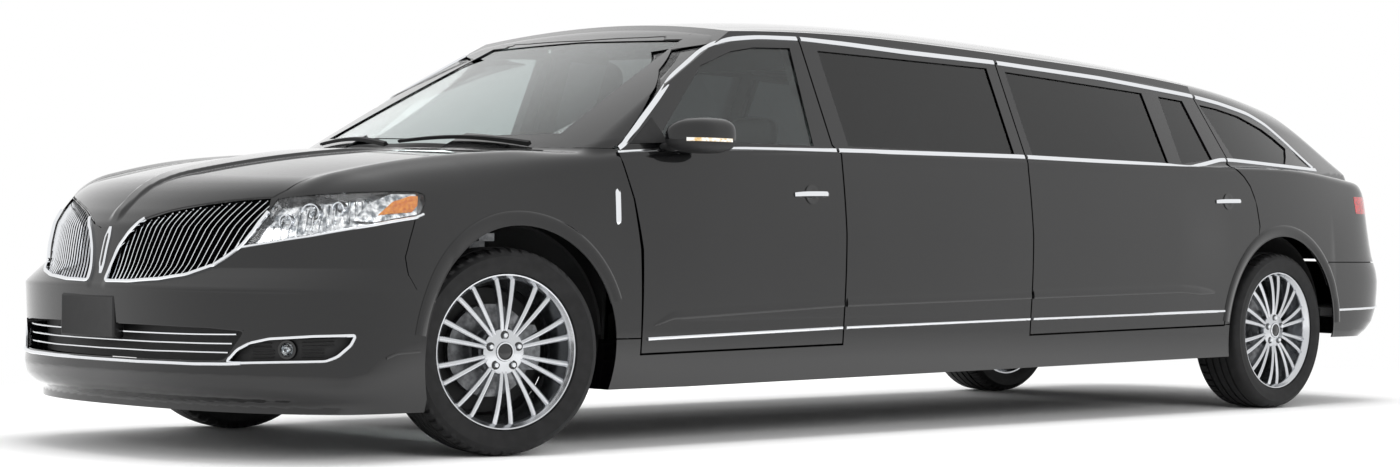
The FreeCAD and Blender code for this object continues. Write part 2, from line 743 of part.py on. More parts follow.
hinges = []
for end in ("front", "rear"):
    for place in door_hinge_places(end):
        plate = moved(door_plate, place)
        hinges += [plate, mirrored(plate)]
for place in gate_places:
    hinges.append(largest(moved(gate_plate, place).cut(roof)))
hood_pin = cylinder_y(PIN, HOOD_HINGE.x, HOOD_HINGE.z, -FAR, -HOOD_PIN_IN).cut(fender)
hood_pin = min(hood_pin.Solids, key=lambda solid: abs(solid.CenterOfMass.y))
hinges += [hood_pin, mirrored(hood_pin)]
add("hinges", Part.makeCompound(hinges))

# --------------------------------------------------------------------------- door mirrors
# Housing sections across the mirror: |y|, x range and z range.
MIRROR_SECTIONS = [
    (902, 690, 770, 1106, 1138),
    (950, 680, 780, 1104, 1148),
    (968, 660, 860, 1092, 1200),
    (1030, 690, 940, 1094, 1214),
    (1092, 800, 962, 1120, 1192),
]


def mirror_housing():
    wires = []
    for y, x0, x1, z0, z1 in MIRROR_SECTIONS:
        corners = [(x0, z0), (x1, z0), (x1, z1), (x0, z1)]
        wires.append(closed_wire([Vector(front(x), -y, z) for x, z in corners]))
    return Part.makeLoft(wires, True, True)


mirror = mirror_housing().cut(OUTER)
mirror = largest(mirror)
for side, sign in SIDES.items():
    add(f"door_mirror_{side}", mirror if sign < 0 else mirrored(mirror))

# --------------------------------------------------------------------------- floor and structure
print("floor and running gear")
FLOOR_LOW = size("floor_height")
FLOOR_TOP = FLOOR_LOW + size("floor_thickness")
SILL_INNER = 780.0
BULKHEAD = front(470)
REAR_STEP = rear(-470)
REAR_FLOOR_LOW = 430.0
REAR_FLOOR_TOP = REAR_FLOOR_LOW + size("floor_thickness")
REAR_FLOOR_HALF = 540.0

main_floor = box(BULKHEAD, REAR_STEP, -SILL_INNER, SILL_INNER, FLOOR_LOW, FLOOR_TOP)
step_wall = box(REAR_STEP, REAR_STEP + 30, -REAR_FLOOR_HALF, REAR_FLOOR_HALF, FLOOR_LOW, REAR_FLOOR_TOP)
rear_floor = box(REAR_STEP, TAIL, -REAR_FLOOR_HALF, REAR_FLOOR_HALF, REAR_FLOOR_LOW, REAR_FLOOR_TOP)
rear_floor = rear_floor.common(INNER)
boot_floor = box(rear(470), TAIL, -900, 900, REAR_FLOOR_LOW, REAR_FLOOR_TOP).common(INNER)
add("floor_pan", whole(Part.makeCompound([main_floor, step_wall, rear_floor, boot_floor])))

wall = INNER.common(box(BULKHEAD - 14, BULKHEAD, -FAR, FAR, FLOOR_LOW, LINE))
add("bulkhead", largest(whole(Part.makeCompound([wall, cowl]))))

RAIL_IN, RAIL_OUT = 388.0, 452.0
rails = INNER.common(box(NOSE, BULKHEAD - 14, -RAIL_OUT, RAIL_OUT, 470, 560))
rails = rails.cut(box(NOSE + 170, BULKHEAD, -RAIL_IN, RAIL_IN, 400, 600))
cross = box(front(-90), front(90), -RAIL_OUT, RAIL_OUT, 290, 330)
uprights = [
    box(front(-90), front(90), RAIL_IN, RAIL_OUT, 330, 470),
    box(front(-90), front(90), -RAIL_OUT, -RAIL_IN, 330, 470),
]
add("front_subframe", whole(Part.makeCompound([largest(rails), cross] + uprights)))

KINGPIN = 740.0  # distance of the steering axis from the centre line
HUB_FACE = size("half_track") - size("mount_face")
ARM_TOP = 292.0
KNUCKLE_TOP = size("tyre_radius") * 2 + 47
STRUT = 560.0
TOWER_LOW = KNUCKLE_TOP + 65


def wishbone(root_half, tip_half, low, thick):
    """A flat arm from the rail out to just past the steering axis."""
    corners = [(-root_half, RAIL_OUT), (root_half, RAIL_OUT)]
    corners += [(tip_half, KINGPIN + 12), (-tip_half, KINGPIN + 12)]
    return prism([Vector(front(x), -y, low) for x, y in corners], (0, 0, thick))


lower_arm = wishbone(150, 16, ARM_TOP - 24, 24)
arm_root = box(front(-90), front(90), -RAIL_OUT - 30, -RAIL_OUT, 290, 320)
upper_arm = wishbone(56, 16, KNUCKLE_TOP, 20)
strut = Part.makeCylinder(24, TOWER_LOW - ARM_TOP, Vector(FRONT_AXLE, -STRUT, ARM_TOP))
spring = Part.makeCylinder(50, 330, Vector(FRONT_AXLE, -STRUT, TOWER_LOW - 330))
tower = INNER.common(box(front(-120), front(120), -FAR, -RAIL_OUT, TOWER_LOW, TOWER_LOW + 26))
apron = box(front(-120), front(120), -RAIL_OUT, -RAIL_OUT + 12, 560, TOWER_LOW + 26)
front_corner = whole(Part.makeCompound([lower_arm, arm_root, upper_arm, strut, spring, tower, apron]))
add("front_suspension", both_sides(front_corner))

carrier = [
    box(rear(-70), rear(70), -700, 700, 310, 380),
    box(rear(-50), rear(50), -758, -690, 280, 460),
    box(rear(-50), rear(50), 690, 758, 280, 460),
    cylinder_y(38, REAR_AXLE, AXLE_HEIGHT, -HUB_FACE, -758),
    cylinder_y(38, REAR_AXLE, AXLE_HEIGHT, 758, HUB_FACE),
]
for y in (-430, 430):
    carrier.append(Part.makeCylinder(60, REAR_FLOOR_LOW - 380, Vector(REAR_AXLE, y, 380)))
add("rear_suspension", whole(Part.makeCompound(carrier)))

engine_x = front(-70)
engine = box(
    engine_x - size("engine_length") / 2,
    engine_x + size("engine_length") / 2,
    -size("engine_width") / 2,
    size("engine_width") / 2,
    330,
    330 + size("engine_height"),
)
add("engine", engine)

pipe_z = FLOOR_LOW - 8 - size("pipe_radius")
pipe_run = rear(-520) - front(520)
pipe = [Part.makeCylinder(size("pipe_radius"), pipe_run, Vector(front(520), 250, pipe_z), Vector(1, 0, 0))]
for x in (front(800), front(2000), rear(-1500), rear(-700)):
    pipe.append(box(x, x + 60, 238, 262, pipe_z, FLOOR_LOW))
add("exhaust", whole(Part.makeCompound(pipe)))

tank = box(
    rear(120),
    rear(120) + size("tank_length"),
    -size("tank_width") / 2,
    size("tank_width") / 2,
    REAR_FLOOR_LOW - size("tank_height"),
    REAR_FLOOR_LOW,
)
add("fuel_tank", tank)


def wheelhouse(x, inner_y):
    """A half-round liner inside the wing, closed by a plate on its inner side."""
    radius = size("arch_radius")
    outer = cylinder_y(radius + 12, x, AXLE_HEIGHT, -FAR, -inner_y)
    hollow = cylinder_y(radius, x, AXLE_HEIGHT, -FAR, -inner_y - 12)
    upper = box(x - 700, x + 700, -FAR, 0, 420, 1200)
    return outer.cut(hollow).common(upper).common(INNER)


liner_parts = []
for x, inner_y in ((FRONT_AXLE, 470), (REAR_AXLE, 540)):
    liner = wheelhouse(x, inner_y)
    if x == FRONT_AXLE:
        liner = liner.cut(front_corner).cut(cylinder_y(470, x, AXLE_HEIGHT, -482, 0))
        liner = liner.cut(box(x - 80, x + 80, -STRUT - 70, 0, 300, 1200))
    liner = largest(liner)
    liner_parts += [liner, mirrored(liner)]
add("wheel_liners", Part.makeCompound(liner_parts))

# --------------------------------------------------------------------------- cabin
print("cabin")
SEAT_BASE = 620.0


def seat(x, y, width, base_z, back_top=1150.0, length=520.0):
    """Cushion, raked back and headrest, facing forwards; x is the front of the cushion."""
    half = width / 2
    cushion = box(x, x + length, y - half, y + half, base_z, SEAT_BASE)
    back = prism(
        [
            Vector(x + length - 90, y - half, SEAT_BASE - 60),
            Vector(x + length + 60, y - half, SEAT_BASE - 60),
            Vector(x + length + 210, y - half, back_top),
            Vector(x + length + 110, y - half, back_top),
        ],
        (0, width, 0),
    )
    rest = box(x + length + 130, x + length + 210, y - 130, y + 130, back_top - 20, back_top + 150)
    return whole(Part.makeCompound([cushion, back, rest]))


seat_width = size("seat_width")
front_seats = [seat(front(1080), y, seat_width, FLOOR_TOP, 1130.0) for y in (-400, 400)]
add("front_seats", Part.makeCompound(front_seats))

bench = seat(rear(-420), 0, 1040, REAR_FLOOR_TOP, 1080.0)
SOFA_START, SOFA_END = front(2060), rear(-620)
sofa = whole(
    Part.makeCompound(
        [
            box(SOFA_START, SOFA_END, 330, 772, FLOOR_TOP, SEAT_BASE),
            box(SOFA_START, SOFA_END, 680, 772, SEAT_BASE, 1040),
        ]
    )
)
add("rear_seats", Part.makeCompound([bench, sofa]))
add("bar_console", box(front(2160), rear(-1200), -772, -500, FLOOR_TOP, 860))

dash_profile = [(0, 860), (0, 1078), (150, 1086), (300, 1060), (345, 960), (300, 760), (160, 720), (60, 760)]
dash = prism([Vector(BULKHEAD + x, -790, z) for x, z in dash_profile], (0, 1580, 0)).common(INNER)
console = box(BULKHEAD, front(1500), -110, 110, FLOOR_TOP, 640)
stack = box(BULKHEAD + 100, BULKHEAD + 300, -110, 110, 640, 800)
add("dashboard", whole(Part.makeCompound([largest(dash), console, stack])))

wheel_centre = Vector(front(935), -400, 985)
wheel_axis = Vector(0.86, 0, 0.51)
ring = Part.makeTorus(size("steering_wheel_radius"), 15, Vector(0, 0, 0), Vector(0, 0, 1))
hub = Part.makeCylinder(62, 36, Vector(0, 0, -18))
spokes = [
    Part.makeBox(size("steering_wheel_radius"), 36, 14, Vector(0, -18, -7)),
    Part.makeBox(size("steering_wheel_radius"), 36, 14, Vector(-size("steering_wheel_radius"), -18, -7)),
    Part.makeBox(36, size("steering_wheel_radius"), 14, Vector(-18, -size("steering_wheel_radius"), -7)),
]
column = Part.makeCylinder(30, 190, Vector(0, 0, -190))
steering = whole(Part.makeCompound([ring, hub, column] + spokes))
steering.Placement = FreeCAD.Placement(wheel_centre, Rotation(Vector(0, 0, 1), wheel_axis))
steering = steering.cut(dash)
add("steering_wheel", largest(steering))

PARTITION = front(1935)
partition = INNER.common(box(PARTITION, PARTITION + 40, -FAR, FAR, FLOOR_TOP, 1700))
partition = partition.cut(box(PARTITION - 5, PARTITION + 45, -560, 560, 1060, 1480))
add("partition", largest(partition))


# --------------------------------------------------------------------------- wheels
print("wheels")


def origin_feature(body, role):
    return next(f for f in body.Origin.OriginFeatures if f.Role == role)


def new_body(name):
    body = doc.addObject("PartDesign::Body", name)
    body.Label = name
    return body


def sketch_on(body, name, role):
    sketch = body.newObject("Sketcher::SketchObject", name)
    sketch.AttachmentSupport = [(origin_feature(body, role), "")]
    sketch.MapMode = "FlatFace"
    return sketch


def in_sheet(expression):
    """An expression with each size's name made into a reference to its cell."""
    return re.sub(r"[a-z][a-z_]+", lambda found: "Sizes." + found.group(), expression)


def draw_closed(sketch, points):
    """Straight sides between corners, each corner's place bound to the sizes by two expressions."""
    first = sketch.GeometryCount
    bound = [[in_sheet(text) for text in point] for point in points]
    places = [[float(sheet.evalExpression(text)) for text in point] for point in bound]
    count = len(points)
    for i in range(count):
        start, end = places[i], places[(i + 1) % count]
        sketch.addGeometry(Part.LineSegment(Vector(*start, 0), Vector(*end, 0)), False)
    for i in range(count):
        sketch.addConstraint(Sketcher.Constraint("Coincident", first + i, 2, first + (i + 1) % count, 1))
    for i in range(count):
        for kind, value, text in zip(("DistanceX", "DistanceY"), places[i], bound[i]):
            spot = sketch.addConstraint(Sketcher.Constraint(kind, -1, 1, first + i, 1, value))
            sketch.setExpression(f"Constraints[{spot}]", text)


def revolved(name, profile):
    """A body turned about Y from a closed profile of (y, radius) expressions."""
    body = new_body(name)
    sketch = sketch_on(body, f"{name}_profile", "YZ_Plane")
    draw_closed(sketch, profile)
    turn = body.newObject("PartDesign::Revolution", f"{name}_turn")
    turn.Profile = sketch
    turn.ReferenceAxis = (sketch, ["H_Axis"])
    turn.Angle = 360
    doc.recompute()
    return body


# Tyre, rim and disc profiles, (y, radius).  The outboard side is towards -Y.
TYRE_PROFILE = [
    ("-rim_width / 2 + 12", "rim_radius - 23"),
    ("-rim_width / 2 + 12", "rim_radius + 2"),
    ("-rim_width / 2 - 2", "rim_radius + 4"),
    ("-tyre_width / 2", "rim_radius + 40"),
    ("-tyre_width / 2 + 5", "tyre_radius - 24"),
    ("-tyre_width / 2 + 23", "tyre_radius - 6"),
    ("-tyre_width / 4", "tyre_radius"),
    ("tyre_width / 4", "tyre_radius"),
    ("tyre_width / 2 - 23", "tyre_radius - 6"),
    ("tyre_width / 2 - 5", "tyre_radius - 24"),
    ("tyre_width / 2", "rim_radius + 40"),
    ("rim_width / 2 + 2", "rim_radius + 4"),
    ("rim_width / 2 - 12", "rim_radius + 2"),
    ("rim_width / 2 - 12", "rim_radius - 23"),
    ("rim_width / 2 - 22", "rim_radius - 23"),
    ("tyre_width / 2 - 15", "rim_radius + 40"),
    ("tyre_width / 2 - 23", "tyre_radius - 24"),
    ("-tyre_width / 2 + 23", "tyre_radius - 24"),
    ("-tyre_width / 2 + 15", "rim_radius + 40"),
    ("-rim_width / 2 + 22", "rim_radius - 23"),
]
BARREL_PROFILE = [
    ("-rim_width / 2", "rim_radius"),
    ("-rim_width / 2", "rim_radius - 15"),
    ("-rim_width / 2 + 14", "rim_radius - 34"),
    ("-rim_width / 2 + 50", "rim_radius - 42"),
    ("rim_width / 2 - 20", "rim_radius - 42"),
    ("rim_width / 2", "rim_radius - 26"),
    ("rim_width / 2", "rim_radius"),
    ("rim_width / 2 - 12", "rim_radius"),
    ("rim_width / 2 - 12", "rim_radius - 23"),
    ("-rim_width / 2 + 12", "rim_radius - 23"),
    ("-rim_width / 2 + 12", "rim_radius"),
]
DISC_PROFILE = [
    ("mount_face", "hub_bore"),
    ("mount_face", "hub_radius"),
    ("disc_offset", "hub_radius"),
    ("disc_offset", "disc_radius"),
    ("disc_offset + disc_thickness", "disc_radius"),
    ("disc_offset + disc_thickness", "hub_bore"),
]
HUB_PROFILE = [
    ("-rim_width / 2 + 30", "0"),
    ("-rim_width / 2 + 30", "hub_radius - 20"),
    ("-rim_width / 2 + 24", "hub_radius"),
    ("mount_face", "hub_radius"),
    ("mount_face", "0"),
]
# One thin spoke of a pair, (x, z) corners, from the hub out to the barrel.
SPOKE = [
    ("spoke_gap / 2", "hub_radius - 8"),
    ("spoke_gap / 2 + spoke_width", "hub_radius - 8"),
    ("spoke_gap / 2 + spoke_width + 7", "rim_radius - 38"),
    ("spoke_gap / 2 + 8", "rim_radius - 38"),
]


MIRRORED_SPOKE = [(f"-({x})", z) for x, z in SPOKE]


def turn_feature(body, name, profile):
    sketch = sketch_on(body, f"{name}_profile", "YZ_Plane")
    draw_closed(sketch, profile)
    turn = body.newObject("PartDesign::Revolution", f"{name}_turn")
    turn.Profile = sketch
    turn.ReferenceAxis = (sketch, ["H_Axis"])
    turn.Angle = 360
    return turn


def revolved(name, profile):
    """A body turned about Y from a closed profile of (y, radius) expressions."""
    body = new_body(name)
    turn_feature(body, name, profile)
    doc.recompute()
    return body


def build_rim(name):
    body = revolved(name, HUB_PROFILE)
    spokes = sketch_on(body, f"{name}_spokes", "XZ_Plane")
    draw_closed(spokes, SPOKE)
    draw_closed(spokes, MIRRORED_SPOKE)
    spokes.setExpression("AttachmentOffset.Base.z", "Sizes.rim_width / 2 - 16 - Sizes.spoke_depth")
    pad = body.newObject("PartDesign::Pad", f"{name}_spoke_pad")
    pad.Profile = spokes
    pad.setExpression("Length", "Sizes.spoke_depth")
    doc.recompute()
    pattern = body.newObject("PartDesign::PolarPattern", f"{name}_spoke_pattern")
    pattern.Originals = [pad]
    pattern.Axis = (origin_feature(body, "Y_Axis"), [""])
    pattern.Angle = 360
    pattern.setExpression("Occurrences", "Sizes.spoke_pairs")
    body.Tip = pattern
    doc.recompute()
    turn_feature(body, f"{name}_barrel", BARREL_PROFILE)
    doc.recompute()
    return body


WHEELS = {
    "front_left": (FRONT_AXLE, -1, True),
    "front_right": (FRONT_AXLE, 1, True),
    "rear_left": (REAR_AXLE, -1, False),
    "rear_right": (REAR_AXLE, 1, False),
}
STEER = size("steer_rest")  # turned to the right at rest


def hub_placement(x, side, steered):
    """Where a wheel's middle is; the outboard side faces away from the car."""
    centre = Vector(x, side * size("half_track"), AXLE_HEIGHT)
    facing = Rotation(Vector(0, 0, 1), 0 if side < 0 else 180)
    place = FreeCAD.Placement(centre, facing)
    if not steered:
        return place
    pin = Vector(x, side * KINGPIN, 0)
    return FreeCAD.Placement(Vector(), Rotation(Vector(0, 0, 1), -STEER), pin) * place


for name, (x, side, steered) in WHEELS.items():
    place = hub_placement(x, side, steered)
    for kind, build in (
        ("tyre", lambda label: revolved(label, TYRE_PROFILE)),
        ("rim", build_rim),
        ("brake_disc", lambda label: revolved(label, DISC_PROFILE)),
    ):
        body = build(f"{kind}_{name}")
        body.Placement = place

# Knuckle: upright on the steering axis, wheel spindle and brake caliper, in the wheel's own frame.
half_track = size("half_track")
pin_y = half_track - KINGPIN
top = KNUCKLE_TOP - AXLE_HEIGHT
inboard = size("tyre_width") / 2 + 7
upright = [
    box(-36, 36, pin_y - 20, pin_y + 20, ARM_TOP - AXLE_HEIGHT, 70),
    box(-30, 30, pin_y + 20, inboard + 26, 20, 70),
    box(-30, 30, inboard, inboard + 26, 20, top),
    box(-30, 30, pin_y - 20, inboard, top - 28, top),
]
spindle = cylinder_y(size("hub_bore") - 1, 0, 0, size("mount_face"), pin_y - 20)
disc_out = size("disc_offset")
disc_in = disc_out + size("disc_thickness")
caliper = cylinder_y(size("disc_radius") + 24, 0, 0, disc_out - 26, disc_in + 26)
caliper = caliper.cut(cylinder_y(size("disc_radius") - 62, 0, 0, -200, 200))
caliper = caliper.cut(cylinder_y(size("disc_radius") + 2, 0, 0, disc_out - 3, disc_in + 3))
caliper = caliper.common(box(0, 400, -200, 200, -70, 90))
bracket = box(36, size("disc_radius") - 40, disc_in + 8, disc_in + 22, -36, 36)
knuckle = whole(Part.makeCompound(upright + [spindle, bracket, caliper]))
for name in ("front_left", "front_right"):
    x, side, steered = WHEELS[name]
    obj = add(f"knuckle_{name}", knuckle)
    obj.Placement = hub_placement(x, side, steered)
rear_bracket = box(50, size("disc_radius") - 40, disc_in + 8, disc_in + 22, -36, 36)
rear_calipers = []
for name in ("rear_left", "rear_right"):
    x, side, steered = WHEELS[name]
    piece = caliper.fuse(rear_bracket).removeSplitter()
    piece.Placement = hub_placement(x, side, steered)
    rear_calipers.append(piece)
add("rear_calipers", Part.makeCompound(rear_calipers))

# --------------------------------------------------------------------------- checks and export
doc.recompute()
pieces = [obj for obj in doc.Objects if obj.TypeId in ("Part::Feature", "PartDesign::Body")]
for obj in doc.Objects:
    if "Invalid" in obj.State or "Error" in obj.State:
        raise RuntimeError(f"{obj.Name} did not build: {obj.State}")
os.makedirs(PARTS, exist_ok=True)
for obj in pieces:
    shape = obj.Shape
    if shape.isNull() or not shape.isValid() or not shape.Solids:
        raise RuntimeError(f"{obj.Label} has no valid solid")
    shape.exportStep(f"{PARTS}/{obj.Label}.step")
print(len(pieces), "pieces,", sum(len(obj.Shape.Solids) for obj in pieces), "solids")
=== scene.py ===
# %% [markdown]
# A stretch limousine, built around a imported CAD frame.  The CAD pieces hold the sizes, the joints and the
# clearances.  Here each of them gets its finish, and the pieces that a designer would shape by eye (the painted
# outer skins, glass, lamps, grilles, trims, tyres, upholstery) are modelled on top of it in mesh code.
# The first cell loads the frame, with a helper that gives the box of any of its nodes.  The finished model has
# to stay inside it.

# %% Load the frame
import json
import math

import bmesh
import bpy
import numpy as np
from mathutils import Matrix, Vector


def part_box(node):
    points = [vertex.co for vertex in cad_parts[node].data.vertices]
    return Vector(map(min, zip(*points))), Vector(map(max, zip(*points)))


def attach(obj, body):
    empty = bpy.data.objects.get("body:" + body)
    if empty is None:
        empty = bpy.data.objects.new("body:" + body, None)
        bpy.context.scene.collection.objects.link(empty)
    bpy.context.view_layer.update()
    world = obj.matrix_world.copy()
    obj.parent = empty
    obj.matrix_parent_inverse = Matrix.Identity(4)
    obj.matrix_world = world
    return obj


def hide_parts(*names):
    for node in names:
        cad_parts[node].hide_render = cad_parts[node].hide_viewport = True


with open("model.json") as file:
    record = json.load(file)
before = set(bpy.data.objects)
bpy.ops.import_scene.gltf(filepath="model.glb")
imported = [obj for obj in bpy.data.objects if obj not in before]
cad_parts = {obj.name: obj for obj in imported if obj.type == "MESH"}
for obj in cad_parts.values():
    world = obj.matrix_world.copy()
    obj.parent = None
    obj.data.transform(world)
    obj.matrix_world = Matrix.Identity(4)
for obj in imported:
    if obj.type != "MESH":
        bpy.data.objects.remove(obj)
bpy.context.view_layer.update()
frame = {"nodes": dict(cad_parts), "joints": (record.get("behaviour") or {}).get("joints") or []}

joints = {j["name"]: j for j in frame["joints"]}
FRONT = joints["steer_left"]["pos_m"][0]  # x of the front axle
REAR = joints["spin_rear_left"]["pos_m"][0]  # x of the rear axle
WHEELBASE = REAR - FRONT
AXLE_HEIGHT = joints["steer_left"]["pos_m"][2]
ARCH_RADIUS = 0.446  # wheel openings

# %% [markdown]
# The camera stands low, ahead of the car on its left side, for a three-quarter view.  It is aimed by yaw, pitch
# and a slight roll instead of a target object, so that nothing has to be parented.

# %% Camera
YAW, PITCH, ROLL = math.radians(45.72), math.radians(-0.12), math.radians(0.76)
EYE = Vector((FRONT - 6.548, -8.405, 0.802))
scene = bpy.context.scene
scene.view_settings.view_transform = "Standard"
camera = bpy.data.cameras.new("camera")
camera_object = bpy.data.objects.new("camera", camera)
scene.collection.objects.link(camera_object)
scene.camera = camera_object
camera.lens = 72.26
camera.shift_x, camera.shift_y = -0.029, 0.003
camera.clip_end = 200
look = Vector((math.sin(YAW) * math.cos(PITCH), math.cos(YAW) * math.cos(PITCH), math.sin(PITCH)))
level_right = look.cross(Vector((0, 0, 1))).normalized()
level_up = level_right.cross(look)
right = level_right * math.cos(ROLL) + level_up * math.sin(ROLL)
up = level_up * math.cos(ROLL) - level_right * math.sin(ROLL)
turn = Matrix((right, up, -look)).transposed().to_4x4()
camera_object.matrix_world = Matrix.Translation(EYE) @ turn
print("camera at", [round(v, 3) for v in EYE])

# %% [markdown]
# Every finish is a node material.  These two helpers are all that they share: one turns an sRGB hex colour into
# the linear numbers that Blender works in, the other adds one node with its settings and links.

# %% Material helpers
def linear(code):
    values = [int(code[i:i + 2], 16) / 255 for i in (1, 3, 5)]
    return [v / 12.92 if v <= 0.04045 else ((v + 0.055) / 1.055) ** 2.4 for v in values] + [1.0]


def add_node(material, kind, settings=None, **inputs):
    """Adds a node.  Inputs are given by socket name, with _ for a space, as a value or as a socket to link."""
    node = material.node_tree.nodes.new(kind)
    for name, value in (settings or {}).items():
        setattr(node, name, value)
    for name, value in inputs.items():
        socket = node.inputs[int(name[1:])] if name[0] == "_" else node.inputs[name.replace("_", " ")]
        if isinstance(value, bpy.types.NodeSocket):
            material.node_tree.links.new(value, socket)
        else:
            socket.default_value = value
    return node


def shader(name, colour, roughness, metallic=0.0, **sockets):
    """A material with one Principled shader; uniform values sit on its own sockets."""
    material = bpy.data.materials.new(name)
    material.use_nodes = True
    principled = material.node_tree.nodes["Principled BSDF"]
    principled.inputs["Base Color"].default_value = linear(colour)
    principled.inputs["Roughness"].default_value = roughness
    principled.inputs["Metallic"].default_value = metallic
    for socket, value in sockets.items():
        principled.inputs[socket.replace("_", " ")].default_value = value
    return material


def link(material, output, socket):
    principled = material.node_tree.nodes["Principled BSDF"]
    material.node_tree.links.new(output, principled.inputs[socket])


def texture(material, size_mm, kind="ShaderNodeTexNoise", **settings):
    """A texture in object space, with features of about size_mm."""
    place = add_node(material, "ShaderNodeTexCoord")
    return add_node(material, kind, Vector=place.outputs["Object"], Scale=1000 / size_mm, **settings)


def mottle(material, dark, light, size_mm, detail=3.0):
    """Slow variation between two colours, with patches of about size_mm."""
    noise = texture(material, size_mm, Detail=detail)
    ramp = add_node(material, "ShaderNodeValToRGB", Fac=noise.outputs["Fac"])
    ramp.color_ramp.elements[0].position, ramp.color_ramp.elements[1].position = 0.35, 0.65
    ramp.color_ramp.elements[0].color, ramp.color_ramp.elements[1].color = linear(dark), linear(light)
    link(material, ramp.outputs["Color"], "Base Color")


def polish(material, low, high, size_mm):
    """Roughness that wanders between low and high, as wiping and handling leave it."""
    noise = texture(material, size_mm, Detail=4.0)
    span = add_node(material, "ShaderNodeMapRange", Value=noise.outputs["Fac"], From_Min=0.3, From_Max=0.7,
                    To_Min=low, To_Max=high)
    link(material, span.outputs["Result"], "Roughness")


def grain(material, size_mm, depth_mm, kind="noise"):
    """A bumpy surface, with bumps of about size_mm and depth_mm."""
    if kind == "cells":
        height = texture(material, size_mm, "ShaderNodeTexVoronoi").outputs["Distance"]
    else:
        height = texture(material, size_mm, Detail=2.0).outputs["Fac"]
    bump = add_node(material, "ShaderNodeBump", Height=height, Distance=depth_mm / 1000, Strength=1.0)
    link(material, bump.outputs["Normal"], "Normal")


print("material helpers ready")

# %% [markdown]
# Paint first: a solid black enamel under clear lacquer.  The lacquer gives the sharp reflections, so the base
# below it is nearly black and keeps hardly any specular of its own.  The metals are plain metallic shaders whose
# roughness wanders a little.

# %% Paint and bright metal
PAINT = shader("black_lacquered_enamel", "#030304", 0.25, Coat_Weight=1.0, Coat_Roughness=0.03, Coat_IOR=1.5,
               Specular_IOR_Level=0.1)
mottle(PAINT, "#020203", "#050506", 400)
CHROME = shader("chrome_plate", "#e9ebee", 0.08, 1.0)
polish(CHROME, 0.03, 0.09, 60)
ALLOY = shader("polished_aluminium_wheel", "#c9cbce", 0.24, 1.0)
polish(ALLOY, 0.16, 0.27, 25)
REFLECTOR = shader("vacuum_metallised_reflector", "#dfe2e5", 0.2, 1.0)
mottle(REFLECTOR, "#7d8286", "#ffffff", 22, 2.0)
polish(REFLECTOR, 0.08, 0.3, 12)
print("paint and bright metal")

# %% [markdown]
# Glass is a thin slab with real transmission.  The cabin's rear glass is nearly black, the front glass is lightly
# tinted, and the lamp lenses are clear polycarbonate.  The colours look strong because light crosses the slab twice.

# %% Glass and lenses
def slab_glass(name, colour, ior):
    material = shader(name, colour, 0.0, IOR=ior, Transmission_Weight=1.0)
    polish(material, 0.0, 0.012, 300)
    return material


PRIVACY_GLASS = slab_glass("privacy_glass", "#2c2f30", 1.45)
TINTED_GLASS = slab_glass("tinted_laminated_glass", "#c3cccb", 1.45)
LENS = slab_glass("clear_polycarbonate", "#fbfcfd", 1.35)
AMBER = shader("amber_acrylic", "#f08a12", 0.12, Transmission_Weight=0.25, IOR=1.49, Coat_Weight=0.6)
mottle(AMBER, "#d86a06", "#ffa62b", 9)
RED_LENS = shader("red_acrylic", "#b5121b", 0.1, Transmission_Weight=0.2, IOR=1.49, Coat_Weight=0.8)
mottle(RED_LENS, "#8d0a14", "#e0242c", 14)
print("glass and lenses")

# %% [markdown]
# Plastics, rubber and trim.  Grained black plastic scatters light from bumps of a millimetre or two; rubber is
# a dull black with a bloom of grey; leather has a cell pattern; carpet is a fine noise.

# %% Plastics, rubber, upholstery and structural metals
GRAINED_PLASTIC = shader("grained_black_polypropylene", "#0b0b0c", 0.55)
mottle(GRAINED_PLASTIC, "#080809", "#101011", 30)
grain(GRAINED_PLASTIC, 2.5, 0.12)
GLOSS_PLASTIC = shader("gloss_black_abs", "#060607", 0.12, Coat_Weight=0.5, Coat_Roughness=0.03)
polish(GLOSS_PLASTIC, 0.08, 0.18, 50)
RUBBER = shader("carbon_black_rubber", "#0e0e0f", 0.62, Specular_IOR_Level=0.35)
mottle(RUBBER, "#0a0a0b", "#151516", 35)
grain(RUBBER, 3.0, 0.15)
LEATHER = shader("black_nappa_leather", "#121214", 0.42)
mottle(LEATHER, "#0e0e10", "#19191c", 40)
grain(LEATHER, 3.5, 0.35, "cells")
VINYL = shader("moulded_soft_touch_vinyl", "#17181a", 0.6)
mottle(VINYL, "#141517", "#1c1d20", 60)
grain(VINYL, 2.2, 0.2, "cells")
CARPET = shader("cut_pile_carpet", "#101012", 0.95, Sheen_Weight=0.3)
mottle(CARPET, "#0a0a0b", "#1a1a1d", 4)
grain(CARPET, 2.5, 1.2)
WALNUT = shader("lacquered_walnut", "#2b160c", 0.2, Coat_Weight=0.8, Coat_Roughness=0.05)
mottle(WALNUT, "#1c0d06", "#40210f", 22, 6.0)
STEEL = shader("zinc_coated_steel", "#5c5e60", 0.45, 1.0)
mottle(STEEL, "#4a4c4e", "#6c6e70", 45)
UNDERCOAT = shader("black_dip_coated_steel", "#0d0d0e", 0.6)
mottle(UNDERCOAT, "#0a0a0a", "#141415", 80)
grain(UNDERCOAT, 6.0, 0.3)
CAST = shader("sand_cast_aluminium", "#8b8d8f", 0.5, 1.0)
mottle(CAST, "#77797b", "#9a9c9e", 18)
grain(CAST, 2.0, 0.25)
IRON = shader("machined_cast_iron", "#77787a", 0.3, 1.0)
mottle(IRON, "#5f6062", "#8b8c8e", 25)
print("materials", len(bpy.data.materials))

